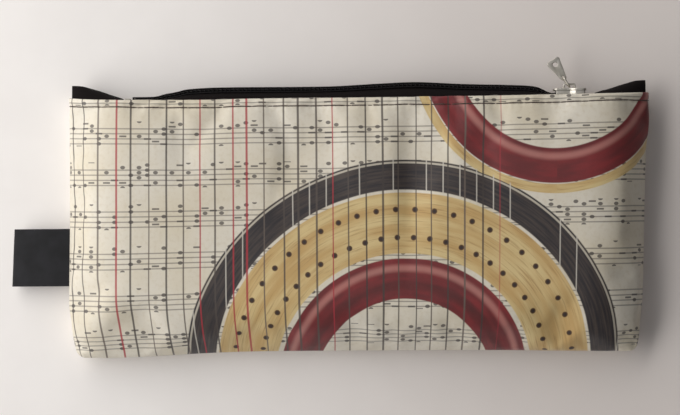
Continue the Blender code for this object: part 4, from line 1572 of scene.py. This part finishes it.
stitch = stitchRecipe()
rows = [
    ("stitches_front", "topstitch_front", topstitchLine(front)),
    ("stitches_back", "topstitch_back", topstitchLine(back)),
    ("stitches_left", "side_seam_left", seamLine("left")),
    ("stitches_right", "side_seam_right", seamLine("right")),
    ("stitches_bottom", "bottom_seam", seamLine("bottom")),
]
for name, node, (line, outs) in rows:
    path = pathObject(name + " path", *evenly(line, outs, stitchSizes["pitch"]))
    hold(stitch.bake(name, path, thread, **stitchInputs), "pouch", "sewing_thread", node)
print("stitches")

for node, name in (
    ("bottom_stop", "stop_bottom"),
    ("top_stop_front", "stop_top_front"),
    ("top_stop_back", "stop_top_back"),
):
    hold(bevelledCopy(node, name, nickel), "pouch", "nickel", node)
hold(sliderCasting(nickel), "slider", "nickel", "slider_body")
hold(pullLink(nickel), "link", "nickel", "pull_link")
hold(pullTab(nickel), "tab", "nickel", "pull_tab")
print("metal")

ribbon = ribbonTag(ribbonFinish())
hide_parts("side_tag")
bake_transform(ribbon)
print("tag")


# Stage, light and camera

stage = {
    "floorSize": 3.0,
    "floorDrop": 0.05 * mm,
    # where the floor's painted light falloff begins, and over what length it runs
    "falloffSpan": (-0.11, 0.2),
    "lampAt": (-0.57, 0.18, 0.50),
    "lampSize": (2.2, 0.5),
    "lampPower": 10.5,
    "lampColour": (1.0, 0.98, 0.955),
    "cameraAt": (-7.6 * mm, 6.45 * mm),
    "cameraHeight": 1206.5 * mm,
    "viewWidth": 258.4 * mm,
    "viewRoll": math.radians(-0.59),
    "roomColour": (0.9, 0.9, 0.92, 1.0),
    "roomSide": (-0.6, 0.0),
    "roomDim": 0.07,
    "roomBright": 1.0,
    "overhead": (0.93, 0.99),
    "overheadBright": 0.75,
    "lowFrom": (0.0, 0.15),
    "lowTo": (0.2, 0.5),
}


def floorFinish():
    finish = Finish("pale table")
    place = finish.place()
    x = finish.parts(place)[0]
    grain = finish.noise(place, 40.0, 4.0)
    start, length = stage["falloffSpan"]
    # the floor's colour grows darker and a little warmer towards the right: painted falloff of the
    # window's light
    paintedFalloff = finish.mix((x - start).fade(0.0, length), tone(253, 249, 246), tone(234, 226, 221))
    colour = finish.mix(grain.fade(0.35, 0.65) * 0.08, paintedFalloff, tone(214, 208, 204))
    return finish.surface(Base_Color=colour, Roughness=0.6 + grain * 0.1)


def areaLamp(name, place, size, power, colour):
    # a rectangle that faces the origin. Its first size is the level one
    lamp = bpy.data.lights.new(name, "AREA")
    lamp.shape = "RECTANGLE"
    lamp.size, lamp.size_y = size
    lamp.energy = power
    lamp.color = colour
    made = placed(name, lamp)
    made.location = place
    made.rotation_euler = (-Vector(place)).to_track_quat("-Z", "Y").to_euler()


half = stage["floorSize"] / 2
corners = [(-half, -half), (half, -half), (half, half), (-half, half)]
corners = [(x, y, -stage["floorDrop"]) for x, y in corners]
floor = newMesh("floor", corners, [(0, 1, 2, 3)], floorFinish())

areaLamp("window", stage["lampAt"], stage["lampSize"], stage["lampPower"], stage["lampColour"])

# the room is bright low down on the window's side and straight overhead, and dim elsewhere
world = bpy.data.worlds.new("room")
world.use_nodes = True
scene.world = world
room = Bench(world.node_tree)
eastward, northward, upward = room.parts(room.add("ShaderNodeTexCoord", None, (), "Generated"))
level = (eastward * eastward + northward * northward).root()
windowSide = (eastward * -1 / level).fade(*stage["roomSide"])
lowDown = upward.fade(*stage["lowFrom"]) * (1 - upward.fade(*stage["lowTo"]))
backdrop = world.node_tree.nodes["Background"]
backdrop.inputs[0].default_value = stage["roomColour"]
ceiling = upward.fade(*stage["overhead"]) * stage["overheadBright"]
room.put(backdrop.inputs[1], stage["roomDim"] + windowSide * lowDown * stage["roomBright"] + ceiling)

camera = bpy.data.cameras.new("camera")
camera.sensor_width = 36.0
camera.lens = camera.sensor_width * (stage["cameraHeight"] - pouch["seamHeight"]) / stage["viewWidth"]
camera.clip_start = 0.01
viewer = placed("camera", camera)
viewer.location = (*stage["cameraAt"], stage["cameraHeight"])
viewer.rotation_euler = (0, 0, stage["viewRoll"])
scene.camera = viewer
scene.view_settings.view_transform = "Standard"
